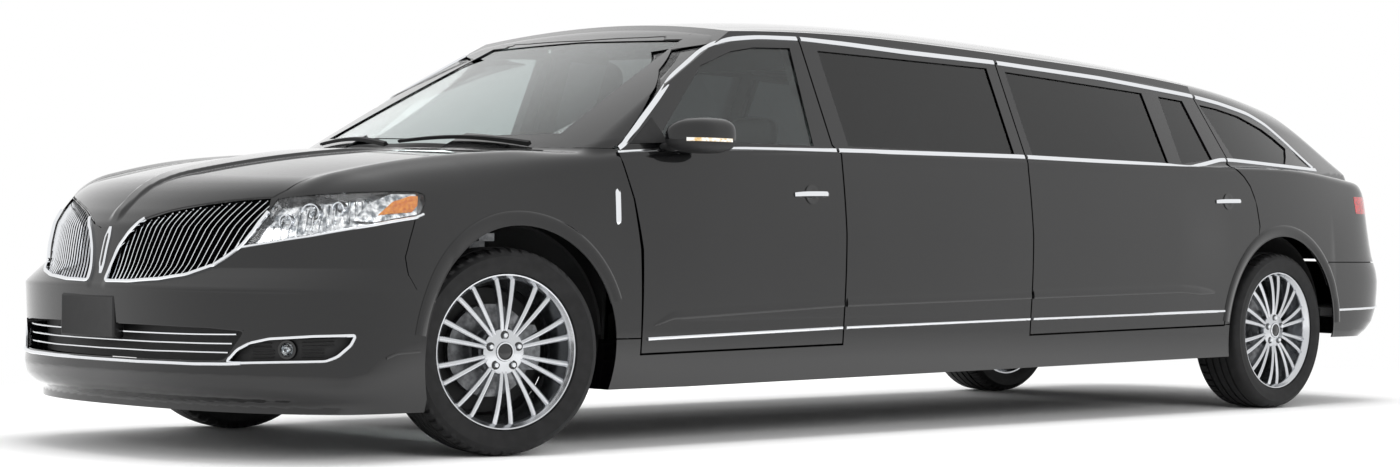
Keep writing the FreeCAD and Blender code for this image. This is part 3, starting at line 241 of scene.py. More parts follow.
# %% [markdown]
# The outside of a car is one smooth surface that is cut into panels afterwards.  Real body panels are pressed in
# dies that were milled from such a master surface.  Here the master is a field: a function of x, y and z that is
# negative inside the car and positive outside.  The lower body (the tub) and the cabin are each the meeting of a
# few simple walls, blended with a soft maximum, and the car is the soft minimum of the two.  A field was chosen
# because every panel, pane and trim strip can then be laid on the same surface with an exact normal.
# The tables give widths and heights at stations along the car, and natural cubic splines run through them.

# %% Stations of the master surface
TUB_STATIONS = np.array([
    # x behind the front axle, sill in, waist in, shoulder in, shoulder height, deck height
    (-1.30, 0.030, 0.004, 0.190, 0.800, 0.850), (-0.85, 0.028, 0.004, 0.150, 0.900, 0.966),
    (-0.40, 0.024, 0.002, 0.118, 1.006, 1.050), (0.06, 0.020, 0, 0.090, 1.058, 1.094),
    (0.571, 0.020, 0, 0.044, 1.090, 1.118), (1.70, 0.020, 0, 0.030, 1.122, 1.134),
    (WHEELBASE - 0.48, 0.020, 0, 0.032, 1.128, 1.142), (WHEELBASE + 0.24, 0.022, 0.004, 0.052, 1.126, 1.140),
    (WHEELBASE + 0.90, 0.040, 0.030, 0.110, 1.072, 1.104), (WHEELBASE + 1.30, 0.060, 0.050, 0.150, 1.030, 1.085)])
CABIN_STATIONS = np.array([
    # x behind the front axle, half width at the belt, half width at the rail, rail drop, roof drop
    (0.10, 0.858, 0.700, 0.177, 0.137), (0.70, 0.905, 0.722, 0.147, 0.117), (1.60, 0.925, 0.726, 0.089, 0.029),
    (WHEELBASE - 1.931, 0.925, 0.726, 0.104, 0), (WHEELBASE - 1.15, 0.925, 0.724, 0.134, 0.028),
    (WHEELBASE - 0.50, 0.915, 0.716, 0.175, 0.071), (WHEELBASE, 0.880, 0.700, 0.234, 0.110),
    (WHEELBASE + 0.45, 0.815, 0.660, 0.317, 0.157), (WHEELBASE + 1.2, 0.650, 0.540, 0.467, 0.277)])
HALF_WIDTH, ROOF_TOP, BELT, WAIST, SILL = 0.965, 1.689, 1.126, 0.650, 0.222
NOSE_HEIGHTS = [0.205, 0.225, 0.25, 0.30, 0.34, 0.40, 0.56, 0.585, 0.605, 0.64, 0.72, 0.801, 0.845, 0.888, 0.925,
                0.957, 0.99, 1.02, 1.06]
NOSE_REACH = [-1.03, -1.085, -1.112, -1.128, -1.122, -1.116, -1.126, -1.128, -1.118, -1.105, -1.088, -1.066,
              -1.030, -0.983, -0.940, -0.895, -0.83, -0.74, -0.55]
TAIL_HEIGHTS = [0.25, 0.283, 0.32, 0.36, 0.40, 0.47, 0.56, 0.60, 0.64, 0.70, 0.78, 0.86, 0.94, 1.00, 1.04, 1.08,
                1.12, 1.3]
TAIL_REACH = [0.72, 0.80, 0.90, 1.00, 1.08, 1.135, 1.148, 1.148, 1.143, 1.120, 1.095, 1.08, 1.075, 1.08, 1.08,
              1.07, 1.04, 0.86]
SCREEN = ((0.165, 1.118), (1.116, 1.554), 0.198, 0.080)
HATCH = ((WHEELBASE + 1.110, 1.110), (WHEELBASE + 0.390, 1.500), -0.150, -0.150)


def spline(table):
    """Natural cubic splines through the columns of a station table, as a function of the first column."""
    x, y = table[:, 0], table[:, 1:]
    h = np.diff(x)
    matrix, target = np.eye(len(x)), np.zeros_like(y)
    for i in range(1, len(x) - 1):
        matrix[i, i - 1:i + 2] = h[i - 1], 2 * (h[i - 1] + h[i]), h[i]
        target[i] = 6 * ((y[i + 1] - y[i]) / h[i] - (y[i] - y[i - 1]) / h[i - 1])
    bend = np.linalg.solve(matrix, target)

    def at(q):
        q = np.clip(q, x[0], x[-1])
        i = np.clip(np.searchsorted(x, q) - 1, 0, len(x) - 2)
        after, before, span = (q - x[i])[..., None], (x[i + 1] - q)[..., None], h[i][..., None]
        value = (bend[i] * before**3 + bend[i + 1] * after**3) / (6 * span)
        value += (y[i + 1] / span - bend[i + 1] * span / 6) * after + (y[i] / span - bend[i] * span / 6) * before
        return np.moveaxis(value, -1, 0)
    return at


tub_at, cabin_at = spline(TUB_STATIONS), spline(CABIN_STATIONS)
print("stations", len(TUB_STATIONS), len(CABIN_STATIONS))


# %% [markdown]
# The walls of the tub and of the cabin, each as a signed distance or close to one, and their blends.

# %% The master surface as a field
def soft_max(a, b, k):
    h = np.clip(0.5 + 0.5 * (a - b) / k, 0, 1)
    return b + (a - b) * h + k * h * (1 - h)


def crown(y, half, rise):
    """How far a crowned deck of this half width has fallen at y."""
    rise = np.maximum(rise, 1e-3)
    radius = (half**2 + rise**2) / (2 * rise)
    return radius - np.sqrt(np.maximum(radius**2 - y**2, 1e-6))


def side_wall(x, z):
    """Half width of the tub: a circle through sill, waist and shoulder."""
    sill_in, waist_in, shoulder_in, shoulder, deck = tub_at(x - FRONT)
    y1, y2, y3 = HALF_WIDTH - sill_in, HALF_WIDTH - waist_in, HALF_WIDTH - shoulder_in
    s1, s2, s3 = y1**2 + SILL**2, y2**2 + WAIST**2, y3**2 + shoulder**2
    d = 2 * (y1 * (WAIST - shoulder) + y2 * (shoulder - SILL) + y3 * (SILL - WAIST))
    yc = (s1 * (WAIST - shoulder) + s2 * (shoulder - SILL) + s3 * (SILL - WAIST)) / d
    zc = (s1 * (y3 - y2) + s2 * (y1 - y3) + s3 * (y2 - y1)) / d
    return yc + np.sqrt(np.maximum((y1 - yc)**2 + (SILL - zc)**2 - (z - zc)**2, 1e-4))


def nose(x, y, z):
    reach = sum(np.interp(z + dz, NOSE_HEIGHTS, NOSE_REACH) for dz in (-0.009, -0.003, 0.003, 0.009)) / 4
    depth, ahead = -0.330 - reach, -0.330 - (x - FRONT)
    power = np.interp(z, [0.585, 0.66, 0.80, 0.95], [2.55, 2.05, 2.0, 2.0])
    ring = (np.maximum(ahead, 0) / depth)**power + (np.abs(y) / 0.985)**power - 1
    return np.clip(depth, 0.3, 1) / 2 * ring - np.maximum(-ahead, 0) * 0.5


def tail(x, y, z):
    depth, behind = np.interp(z, TAIL_HEIGHTS, TAIL_REACH) - 0.45, x - REAR - 0.45
    power = np.interp(z, [0.60, 0.72, 0.95, 1.05], [5.2, 4.4, 3.4, 2.8])
    width = np.interp(z, [0.28, 0.36, 0.66, 0.72], [0.945, 0.975, 0.978, 0.972])
    ring = (np.maximum(behind, 0) / depth)**2.6 + (np.abs(y) / width)**power - 1
    return np.clip(depth, 0.3, 1) / 2 * ring - np.maximum(-behind, 0) * 0.5


def tub(x, y, z):
    sill_in, waist_in, shoulder_in, shoulder, deck = tub_at(x - FRONT)
    top = z - (deck - crown(y, HALF_WIDTH - shoulder_in, deck - shoulder))
    softness = np.interp(x - FRONT, [-1.1, -0.2, 0.4, 0.7, WHEELBASE + 0.1, WHEELBASE + 1.0],
                         [0.10, 0.10, 0.05, 0.016, 0.016, 0.05])
    wall = soft_max(np.abs(y) - side_wall(x, z), top, softness)
    return soft_max(soft_max(wall, nose(x, y, z), 0.05), tail(x, y, z), 0.05)


def slanted_pane(line, x, y, z, sign):
    (x0, z0), (x1, z1), curve_low, curve_high = line
    slope = (x1 - x0) / (z1 - z0)
    curve = curve_low + (curve_high - curve_low) * (z - z0) / (z1 - z0)
    return sign * (x0 + slope * (z - z0) + curve * (y / 0.75)**2 - (x - FRONT)) / np.sqrt(1 + slope * slope)


def cabin(x, y, z):
    belt, rail, rail_drop, roof_drop = cabin_at(x - FRONT)
    rail_height, roof_height = ROOF_TOP - rail_drop, ROOF_TOP - roof_drop
    slope = (belt - rail) / (rail_height - BELT)
    side = (np.abs(y) - (belt - slope * np.maximum(z - BELT, 0))) / np.sqrt(1 + slope**2)
    top = z - (roof_height - crown(y, rail, roof_height - rail_height))
    wall = soft_max(soft_max(side, top, 0.05), slanted_pane(SCREEN, x, y, z, 1), 0.03)
    wall = soft_max(soft_max(wall, slanted_pane(HATCH, x, y, z, -1), 0.05), 0.93 - z, 0.01)
    return soft_max(wall, tail(x, y, z), 0.04)


def body(x, y, z):
    return -soft_max(-tub(x, y, z), -cabin(x, y, z), 0.012)


def slope_of(field, points):
    """Unit normals and gradient lengths of a field at an array of points."""
    steps = np.eye(3) * 1e-3
    parts = [field(*(points + s).T) - field(*(points - s).T) for s in steps]
    gradient = np.stack(parts, 1) / 2e-3
    length = np.maximum(np.linalg.norm(gradient, axis=1), 1e-6)
    return gradient / length[:, None], length


print("field at the front axle's middle", round(float(body(np.array(FRONT), np.array(0.0), np.array(0.6))), 3))

# %% [markdown]
# Four small features are pressed into the master surface: a spine that widens along the middle of the hood, a
# crest along the top of each front wing beside the hood, a lip round the bumper, and a swell at the waist of the
# doors.  Each is a height in metres that is subtracted from the field, which moves the surface outwards by that much.

# %% Features pressed into the surface
def step_up(value, low, high):
    t = np.clip((value - low) / (high - low), 0, 1)
    return t * t * (3 - 2 * t)


SPINE_RISE, CREST_RISE, LIP_RISE, SWELL_RISE = 0.013, 0.014, 0.003, 0.010


def relief(x, y, z):
    ahead = x - FRONT
    side = np.abs(y)
    spine_half = np.interp(ahead, [-1.08, -0.95, -0.80, -0.40, 0.10], [0.026, 0.034, 0.060, 0.130, 0.210])
    spine = SPINE_RISE * step_up(spine_half + 0.010 - side, 0, 0.020)
    spine = spine * step_up(z, 0.80, 0.86) * (1 - step_up(ahead, -0.2, 0.15))
    crest_line = np.interp(ahead, [-0.82, -0.43, 0, 0.30], [0.672, 0.722, 0.775, 0.81])
    crest = CREST_RISE * np.exp(-((side - crest_line) / 0.042)**2)
    crest = crest * step_up(ahead, -0.84, -0.62) * (1 - step_up(ahead, 0.05, 0.35)) * step_up(z, 0.88, 0.93)
    lip = LIP_RISE * step_up(z, 0.572, 0.590) * (1 - step_up(z, 0.600, 0.70))
    lip = lip * (1 - step_up(ahead, -0.95, -0.68)) * (1 - step_up(0.06 - side, 0, 0.03))
    rise, fall = (z - 0.46) / 0.34, (1.08 - z) / 0.28
    swell = SWELL_RISE * np.clip(-soft_max(-rise, -fall, 0.05), 0, 1) * step_up(side, 0.70, 0.80)
    swell = swell * step_up(ahead, 0.42, 0.90) * (1 - step_up(ahead, 3.90, 4.35))
    return spine + crest + lip + swell


def skin_field(x, y, z):
    return body(x, y, z) - relief(x, y, z)


# %% [markdown]
# The field becomes a mesh by shooting rays.  Their origins run along a line inside the car, and at both ends they
# fan out, like the bars of a long birdcage with round ends.  Every ray meets the surface once, so one regular
# grid of points covers the left half with no poles where it matters, and the right half is its mirror image.

# %% Rays from inside the car
CAGE_NOSE, CAGE_TAIL = FRONT - 0.25, REAR + 0.35


def cage(start, end, step, nose_fan, tail_fan, rows, height=0.60, lowest=-30):
    """Origins and directions of the rays of the left half, as two arrays of (columns, rows, 3)."""
    quarter = math.pi / 2
    nose_end, tail_end = (start, end) if height > 0.8 else (CAGE_NOSE, CAGE_TAIL)
    starts = [(nose_end, -math.cos(a), -math.sin(a)) for a in np.linspace(0, quarter, nose_fan, endpoint=False)]
    middle = int(round((end - start) / step)) if end > start else 0
    starts += [(x, 0.0, -1.0) for x in np.linspace(start, end, middle, endpoint=False)]
    starts += [(tail_end, math.sin(a), -math.cos(a)) for a in np.linspace(0, quarter, tail_fan)]
    starts = np.array(starts)[:, None, :] * np.ones((1, rows, 1))
    rise = np.radians(np.linspace(lowest, 90, rows))[None, :]
    origin = np.stack([starts[..., 0], 0 * starts[..., 0], height + 0 * starts[..., 0]], -1)
    way = np.stack([starts[..., 1] * np.cos(rise), starts[..., 2] * np.cos(rise), np.sin(rise) + 0 * starts[..., 0]],
                   -1)
    return origin, way


def meet(field, origin, way):
    """Where each ray first leaves the field's inside: a coarse march, then bisection."""
    low, high = np.full(origin.shape[:2], 0.05), np.full(origin.shape[:2], 2.2)
    found = np.zeros(origin.shape[:2], bool)
    for reach in np.linspace(0.05, 2.2, 44)[1:]:
        outside = (field(*np.moveaxis(origin + reach * way, -1, 0)) > 0) & ~found
        high[outside] = reach
        found |= outside
        low[~found] = reach
    for _ in range(22):
        middle = (low + high) / 2
        outside = field(*np.moveaxis(origin + middle[..., None] * way, -1, 0)) > 0
        high, low = np.where(outside, middle, high), np.where(outside, low, middle)
    return origin + low[..., None] * way


FIELDS = {"side": skin_field, "front": skin_field, "back": skin_field, "cabin": cabin}
CAGES = {"side": (CAGE_NOSE, CAGE_TAIL, 0.030, 40, 40, 130),
         "cabin": (FRONT + 0.9, REAR + 0.2, 0.030, 50, 50, 110, 1.0, 0),
         "front": (CAGE_NOSE, FRONT + 0.60, 0.0125, 110, 0, 260),
         "back": (REAR - 0.62, CAGE_TAIL, 0.02, 0, 80, 200)}
MASTERS = {title: meet(FIELDS[title], *cage(*sizes)) for title, sizes in CAGES.items()}
for title, points in MASTERS.items():
    print("master", title, points.shape)

# %% [markdown]
# A panel is a slab between two offsets of the master, cut to its outline.  The slab comes from a grid whose
# points are moved onto the surface and then extruded inwards.  The outline is a prism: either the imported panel's
# own outline, flattened and extruded, so that gaps and hinges agree with the frame, or a few corner points.
# A boolean cuts one with the other, which is what a press tool's trimming die does.

# %% Slabs and prisms
def new_object(name, mesh, *materials):
    piece = bpy.data.objects.new(name, mesh)
    scene.collection.objects.link(piece)
    for material in materials:
        mesh.materials.append(material)
    return piece


def new_verts(made):
    """The vertices among what an operator returned."""
    return [g for g in made["geom"] if isinstance(g, bmesh.types.BMVert)]


def slab(title, low, high, outer, inner):
    """A closed slab of the left half of a master inside a box, from outer to inner metres off the surface."""
    points = MASTERS[title]
    columns, rows = points.shape[:2]
    pad = 0.03
    inside = np.all((points > np.array(low) - pad) & (points < np.array(high) + pad), axis=2)
    used_columns, used_rows = np.flatnonzero(inside.any(1)), np.flatnonzero(inside.any(0))
    c0, c1 = max(used_columns[0] - 1, 0), min(used_columns[-1] + 1, columns - 1)
    r0, r1 = max(used_rows[0] - 1, 0), min(used_rows[-1] + 1, rows - 1)
    window, mask = points[c0:c1 + 1, r0:r1 + 1], inside[c0:c1 + 1, r0:r1 + 1]
    nc, nr = window.shape[:2]
    normals = slope_of(FIELDS[title], window.reshape(-1, 3))[0].reshape(nc, nr, 3)
    flat = window[..., 1] > -1e-4
    normals[flat, 1] = 0
    bm = bmesh.new()
    bmesh.ops.create_grid(bm, x_segments=nc - 1, y_segments=nr - 1, size=0.5)
    layer = bm.verts.layers.int.new("cell")
    for v in bm.verts:
        i, j = round((v.co.x + 0.5) * (nc - 1)), round((v.co.y + 0.5) * (nr - 1))
        v[layer] = i * nr + j
        v.co = window[i, j] + outer * normals[i, j]
    far = [f for f in bm.faces if not any(mask[divmod(v[layer], nr)] for v in f.verts)]
    bmesh.ops.delete(bm, geom=far, context="FACES")
    made = bmesh.ops.extrude_face_region(bm, geom=list(bm.faces), use_keep_orig=True)
    for v in new_verts(made):
        i, j = divmod(v[layer], nr)
        v.co = window[i, j] + inner * normals[i, j]
    bmesh.ops.remove_doubles(bm, verts=bm.verts, dist=1e-5)
    bmesh.ops.recalc_face_normals(bm, faces=bm.faces)
    return to_mesh(bm)


def to_mesh(bm, name="work"):
    mesh = bpy.data.meshes.new(name)
    bm.to_mesh(mesh)
    bm.free()
    return mesh


def drawn_prism(corners, axis, near, far):
    """A prism from corner points (x, y, z), flattened along an axis and extruded from near to far along it."""
    axis = Vector(axis).normalized()
    bm = bmesh.new()
    flat = [Vector(c) - axis * Vector(c).dot(axis) + axis * near for c in corners]
    face = bm.faces.new([bm.verts.new(p) for p in flat])
    made = bmesh.ops.extrude_face_region(bm, geom=[face], use_keep_orig=True)
    bmesh.ops.translate(bm, vec=axis * (far - near), verts=new_verts(made))
    bmesh.ops.recalc_face_normals(bm, faces=bm.faces)
    return to_mesh(bm)


def traced_prism(node, axis, near, far, title="side", depth=0.0, band=0.006, half=True):
    """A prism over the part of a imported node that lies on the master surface, on the left half."""
    axis = Vector(axis).normalized()
    source = frame["nodes"][node].data
    count = len(source.polygons)
    centres, facing = np.empty(count * 3), np.empty(count * 3)
    source.polygons.foreach_get("center", centres)
    source.polygons.foreach_get("normal", facing)
    centres, facing = centres.reshape(-1, 3), facing.reshape(-1, 3)
    normals, length = slope_of(FIELDS[title], centres)
    distance = FIELDS[title](*centres.T) / np.maximum(length, 0.3)
    keep = (np.abs(distance - depth) < band) & ((normals * facing).sum(1) > 0.75) & (facing @ np.array(axis) > 0.1)
    if half:
        keep &= centres[:, 1] < 0
    bm = bmesh.new()
    bm.from_mesh(source)
    bm.faces.ensure_lookup_table()
    bmesh.ops.delete(bm, geom=[f for f, k in zip(bm.faces, keep) if not k], context="FACES")
    bmesh.ops.remove_doubles(bm, verts=bm.verts, dist=3e-5)
    for v in bm.verts:
        v.co += axis * (near - v.co.dot(axis))
    bmesh.ops.remove_doubles(bm, verts=bm.verts, dist=3e-5)
    bmesh.ops.dissolve_degenerate(bm, edges=bm.edges, dist=1e-5)
    made = bmesh.ops.extrude_face_region(bm, geom=list(bm.faces), use_keep_orig=True)
    bmesh.ops.translate(bm, vec=axis * (far - near), verts=new_verts(made))
    bmesh.ops.recalc_face_normals(bm, faces=bm.faces)
    return to_mesh(bm)


def boolean(first, steps):
    """first, with (operation, mesh) steps applied in turn by the exact solver."""
    subject = new_object("subject", first)
    tools = []
    for operation, tool_mesh in steps:
        tool = new_object("tool", tool_mesh)
        tools.append(tool)
        modifier = subject.modifiers.new("cut", "BOOLEAN")
        modifier.solver = "EXACT"
        modifier.operation = operation
        modifier.object = tool
    bpy.context.view_layer.update()
    graph = bpy.context.evaluated_depsgraph_get()
    result = bpy.data.meshes.new_from_object(subject.evaluated_get(graph))
    bpy.data.objects.remove(subject)
    for tool in tools:
        bpy.data.objects.remove(tool)
    result.materials.clear()
    return result


def mirrored_mesh(mesh):
    """The right-hand twin of a left-hand mesh."""
    bm = bmesh.new()
    bm.from_mesh(mesh)
    bmesh.ops.scale(bm, vec=(1, -1, 1), verts=bm.verts)
    bmesh.ops.reverse_faces(bm, faces=bm.faces)
    return to_mesh(bm)


def whole_mesh(mesh):
    """Both halves of a piece that crosses the middle, welded there."""
    bm = bmesh.new()
    bm.from_mesh(mesh)
    middle = [f for f in bm.faces if all(abs(v.co.y) < 2e-5 for v in f.verts)]
    bmesh.ops.delete(bm, geom=middle, context="FACES")
    bmesh.ops.mirror(bm, geom=list(bm.verts) + list(bm.edges) + list(bm.faces), merge_dist=3e-5, axis="Y")
    bmesh.ops.remove_doubles(bm, verts=[v for v in bm.verts if abs(v.co.y) < 1e-4], dist=4e-5)
    bmesh.ops.recalc_face_normals(bm, faces=bm.faces)
    return to_mesh(bm)


def surface_shade(mesh, title="side"):
    """Takes the shading normals of the wide faces from the field, and leaves the cut edges crisp."""
    mesh.set_sharp_from_angle(angle=math.radians(35))
    for polygon in mesh.polygons:
        polygon.use_smooth = True
    count = len(mesh.loops)
    vertex, corner = np.empty(count, int), np.empty(count * 3)
    mesh.loops.foreach_get("vertex_index", vertex)
    mesh.corner_normals.foreach_get("vector", corner)
    corner = corner.reshape(-1, 3)
    points = np.empty(len(mesh.vertices) * 3)
    mesh.vertices.foreach_get("co", points)
    normals = slope_of(FIELDS[title], points.reshape(-1, 3))[0][vertex]
    along = (normals * corner).sum(1)
    corner[along > 0.9] = normals[along > 0.9]
    corner[along < -0.9] = -normals[along < -0.9]
    mesh.normals_split_custom_set([tuple(n) for n in corner])


def inside(tool):
    """The boolean step that keeps what lies inside a drawn prism."""
    return "INTERSECT", drawn_prism(*tool)


def without(*tools):
    """The boolean steps that take drawn prisms away."""
    return [("DIFFERENCE", drawn_prism(*tool)) for tool in tools]


def panel(name, material, rides, mesh, title="side", twin=None, whole=False):
    """Finishes a cut slab as one piece, or as a left and a right piece riding on two bodies."""
    if whole:
        mesh = whole_mesh(mesh)
    surface_shade(mesh, title)
    piece = new_object(name, mesh, material)
    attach(piece, rides)
    if not whole and twin:
        other = mirrored_mesh(mesh)
        surface_shade(other, title)
        far_side = new_object(name.replace("left", "right"), other, material)
        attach(far_side, twin)
    print(name, len(mesh.polygons), "faces")
    return piece


OUTER, INNER = 0.0022, -0.0008
print("panel tools ready")

# %% [markdown]
# The body side comes first.  Doors, the stretched middle and the rockers keep the outlines of their imported nodes,
# so each outline is traced from the node, looking along the car's width.  The imported node stays behind its skin as
# the inner structure, with hinges and frame.  The skin is deep enough to follow the swell at the waist and still close
# on the node.

# %% Body side panels
def box_of(node):
    """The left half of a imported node's box."""
    low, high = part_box(node)
    return (low.x, low.y, low.z), (high.x, min(high.y, 0.0), high.z)


LEFTWARD, FORWARD, UPWARD = (0, -1, 0), (-1, 0, 0), (0, 0, 1)
SIDE_PANELS = (("front_door_skin_left", "front_door_left", "front_door_left", "front_door_right"),
               ("rear_door_skin_left", "rear_door_left", "rear_door_left", "rear_door_right"),
               ("centre_skin_left", "centre_panels", "chassis", "chassis"),
               ("rocker_skin_left", "rockers", "chassis", "chassis"))
for name, node, left_body, right_body in SIDE_PANELS:
    low, high = box_of(node)
    prism = traced_prism(node, LEFTWARD, -1.2, 1.8, band=0.016)
    mesh = boolean(slab("side", low, high, OUTER, -0.011), [("INTERSECT", prism)])
    panel(name, PAINT, left_body, mesh, twin=right_body)

# %% [markdown]
# The front end is cut by drawn outlines, because its lamps, grille and shut lines run across several packed
# nodes.  Every outline is a list of corner points in metres, x measured from the front axle.  The hood is drawn
# in plan, the front wing (fender) from the side, and the openings of the nose along the way that they face.

# %% Outlines of the front end
def from_axle(corners):
    return [(FRONT + x, y, z) for x, y, z in corners]


def arc(x, z, radius, first, last, count=40):
    """Corner points on a circle in the side view, angles in degrees above the rearward direction."""
    turns = np.radians(np.linspace(first, last, count))
    return [(x + radius * math.cos(t), 0, z + radius * math.sin(t)) for t in turns]


def both_halves(corners):
    """A left outline from the middle outwards, closed by its mirror image."""
    return corners + [(x, -y, z) for x, y, z in reversed(corners) if abs(y) > 1e-6]


HOOD_EDGE = [(-1.068, 0, 0), (-1.067, -0.060, 0), (-1.058, -0.118, 0), (-1.039, -0.167, 0), (-0.998, -0.265, 0),
             (-0.952, -0.373, 0), (-0.889, -0.506, 0), (-0.832, -0.612, 0), (-0.790, -0.634, 0), (-0.660, -0.645, 0),
             (-0.43, -0.668, 0), (0, -0.712, 0), (0.186, -0.731, 0), (0.208, -0.700, 0), (0.150, -0.40, 0),
             (0.110, 0, 0)]
HOOD_TOOL = (both_halves(from_axle(HOOD_EDGE)), (0, 0, 1), 0.72, 1.30)
HOOD_GAP_EDGE = [(-1.071, 0, 0), (-1.071, -0.064, 0), (-1.062, -0.121, 0), (-1.043, -0.171, 0), (-1.002, -0.269, 0),
                 (-0.956, -0.377, 0), (-0.893, -0.510, 0), (-0.836, -0.616, 0), (-0.791, -0.639, 0),
                 (-0.660, -0.650, 0), (-0.43, -0.673, 0), (0, -0.717, 0), (0.264, -0.744, 0), (0.290, -0.728, 0),
                 (0.155, -0.40, 0), (0.115, 0, 0)]
HOOD_GAP_TOOL = (both_halves(from_axle(HOOD_GAP_EDGE)), (0, 0, 1), 0.72, 1.30)
FENDER_EDGE = [(0.494, 0, 1.099), (0.497, 0, 1.052), (0.536, 0, 0.915), (0.560, 0, 0.733), (0.567, 0, 0.409)]
FENDER_EDGE += arc(0, AXLE_HEIGHT, ARCH_RADIUS, 5.2, 156, 60)
FENDER_EDGE += [(-0.430, 0, 0.560), (-0.485, 0, 0.590), (-0.513, 0, 0.640), (-0.519, 0, 0.701), (-0.494, 0, 0.761),
                (-0.457, 0, 0.834), (-0.46, 0, 0.862), (-0.62, 0, 0.866), (-0.80, 0, 0.845), (-0.95, 0, 0.80),
                (-1.0, 0, 1.3), (0.10, 0, 1.3), (0.36, 0, 1.099)]
FENDER_TOOL = (from_axle(FENDER_EDGE), LEFTWARD, 0.30, 1.20)
LAMP_FACING, FOG_FACING, WING_FACING = (-0.66, -0.75, 0), (-0.62, -0.785, 0), (-0.95, -0.31, 0)
WING_EDGE = [(-1.124, -0.052, 0.603), (-1.102, -0.060, 0.655), (-1.087, -0.080, 0.717), (-1.067, -0.122, 0.776),
             (-1.039, -0.172, 0.816), (-0.998, -0.265, 0.846), (-0.952, -0.373, 0.866), (-0.889, -0.506, 0.885),
             (-0.838, -0.612, 0.894), (-0.863, -0.634, 0.845), (-0.908, -0.617, 0.784), (-0.940, -0.588, 0.729),
             (-0.973, -0.543, 0.689), (-1.009, -0.494, 0.653), (-1.053, -0.437, 0.627), (-1.090, -0.336, 0.612),
             (-1.115, -0.196, 0.603)]
LAMP_EDGE = [(-0.823, -0.632, 0.893), (-0.749, -0.729, 0.908), (-0.635, -0.824, 0.919), (-0.505, -0.868, 0.925),
             (-0.427, -0.882, 0.925), (-0.400, -0.891, 0.915), (-0.403, -0.901, 0.888), (-0.430, -0.911, 0.852),
             (-0.458, -0.914, 0.837), (-0.624, -0.892, 0.810), (-0.785, -0.781, 0.772), (-0.884, -0.669, 0.746),
             (-0.937, -0.593, 0.729), (-0.912, -0.612, 0.784), (-0.867, -0.632, 0.845)]
LOWER_EDGE = [(-1.12, 0, 0.462), (-1.12, -0.30, 0.461), (-1.06, -0.55, 0.458), (-0.979, -0.672, 0.451),
              (-0.985, -0.662, 0.430), (-1.000, -0.640, 0.398), (-1.018, -0.610, 0.345), (-1.06, -0.50, 0.342),
              (-1.11, -0.25, 0.340), (-1.12, 0, 0.340)]
FOG_EDGE = [(-1.014, -0.618, 0.345), (-0.995, -0.650, 0.386), (-0.973, -0.686, 0.408), (-0.935, -0.745, 0.424),
            (-0.832, -0.849, 0.434), (-0.712, -0.920, 0.438), (-0.726, -0.913, 0.405), (-0.766, -0.893, 0.366),
            (-0.800, -0.873, 0.352), (-1.004, -0.635, 0.340)]
WING_TOOL = (from_axle(WING_EDGE), WING_FACING, 2.6, 4.2)
LAMP_TOOL = (from_axle(LAMP_EDGE), LAMP_FACING, 1.9, 3.4)
LOWER_TOOL = (both_halves(from_axle(LOWER_EDGE)), (-1, 0, 0), 3.15, 3.7)
FOG_TOOL = (from_axle(FOG_EDGE), FOG_FACING, 2.0, 3.6)
print("front outlines", len(WING_EDGE), len(LAMP_EDGE), len(FOG_EDGE))

# %% [markdown]
# One panel a side runs up beside the windscreen and back over the doors, less the screen and the roof skin.

# %% Pillars beside the windscreen and rails above the doors
RAIL_EDGE = [(0.20, 0, 1.101), (0.476, 0, 1.101), (0.516, 0, 1.124), (0.556, 0, 1.155), (0.744, 0, 1.306),
             (0.908, 0, 1.416), (1.066, 0, 1.507), (1.168, 0, 1.537), (1.295, 0, 1.5575), (1.45, 0, 1.5695),
             (1.62, 0, 1.5735), (1.90, 0, 1.5715), (2.3248, 0, 1.5575), (2.85, 0, 1.544), (3.0186, 0, 1.5375),
             (3.6809, 0, 1.5075), (4.3168, 0, 1.4575), (4.3168, 0, 1.70), (0.20, 0, 1.70)]
SCREEN_EDGE = [(0, 0, 1.136), (0, -0.694, 1.154), (0, -0.564, 1.552), (0, 0, 1.564)]
ROOF_EDGE = [(1.141, 0, 0), (1.160, -0.35, 0), (1.190, -0.562, 0), (6.0, -0.562, 0), (6.0, 0, 0)]
mesh = boolean(slab("side", (FRONT + 0.18, -1.0, 1.08), (FRONT + 4.34, -0.50, 1.72), OUTER, INNER - 0.010),
               [inside((from_axle(RAIL_EDGE), LEFTWARD, 0.3, 1.2))]
               + without((both_halves(from_axle(SCREEN_EDGE)), FORWARD, 0.9, 2.4),
                         (both_halves(from_axle(ROOF_EDGE)), UPWARD, 1.2, 1.9)))
panel("cant_rail_skin_left", PAINT, "chassis", mesh, twin="chassis")

# %% [markdown]
# Hood, wings and bumper are cut from the same slab of the nose, each less the openings that cross it.  The hood
# also gets an inner panel, a little smaller and further in.

# %% Hood, front wings and front bumper
NOSE_LOW, NOSE_HIGH = (FRONT - 1.2, -1.0, 0.20), (FRONT + 0.62, 0.001, 1.2)
HOOD_BOX = ((FRONT - 1.2, -0.80, 0.74), (FRONT + 0.4, 0.001, 1.2))
mesh = boolean(slab("front", *HOOD_BOX, OUTER, INNER - 0.002), [inside(HOOD_TOOL)])
hood_skin = panel("hood_skin", PAINT, "hood", mesh, whole=True)
inner_corners = [(x * 0.965 - 0.010, y * 0.95, z) for x, y, z in HOOD_EDGE]
inner_tool = (both_halves(from_axle(inner_corners)), UPWARD, 0.72, 1.30)
mesh = boolean(slab("front", *HOOD_BOX, -0.006, -0.022), [inside(inner_tool)])
panel("hood_inner_panel", UNDERCOAT, "hood", mesh, whole=True)
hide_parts("hood")
mesh = boolean(slab("front", (FRONT - 1.0, -1.0, 0.36), NOSE_HIGH, OUTER, INNER - 0.002),
               [inside(FENDER_TOOL)] + without(HOOD_GAP_TOOL, LAMP_TOOL, WING_TOOL))
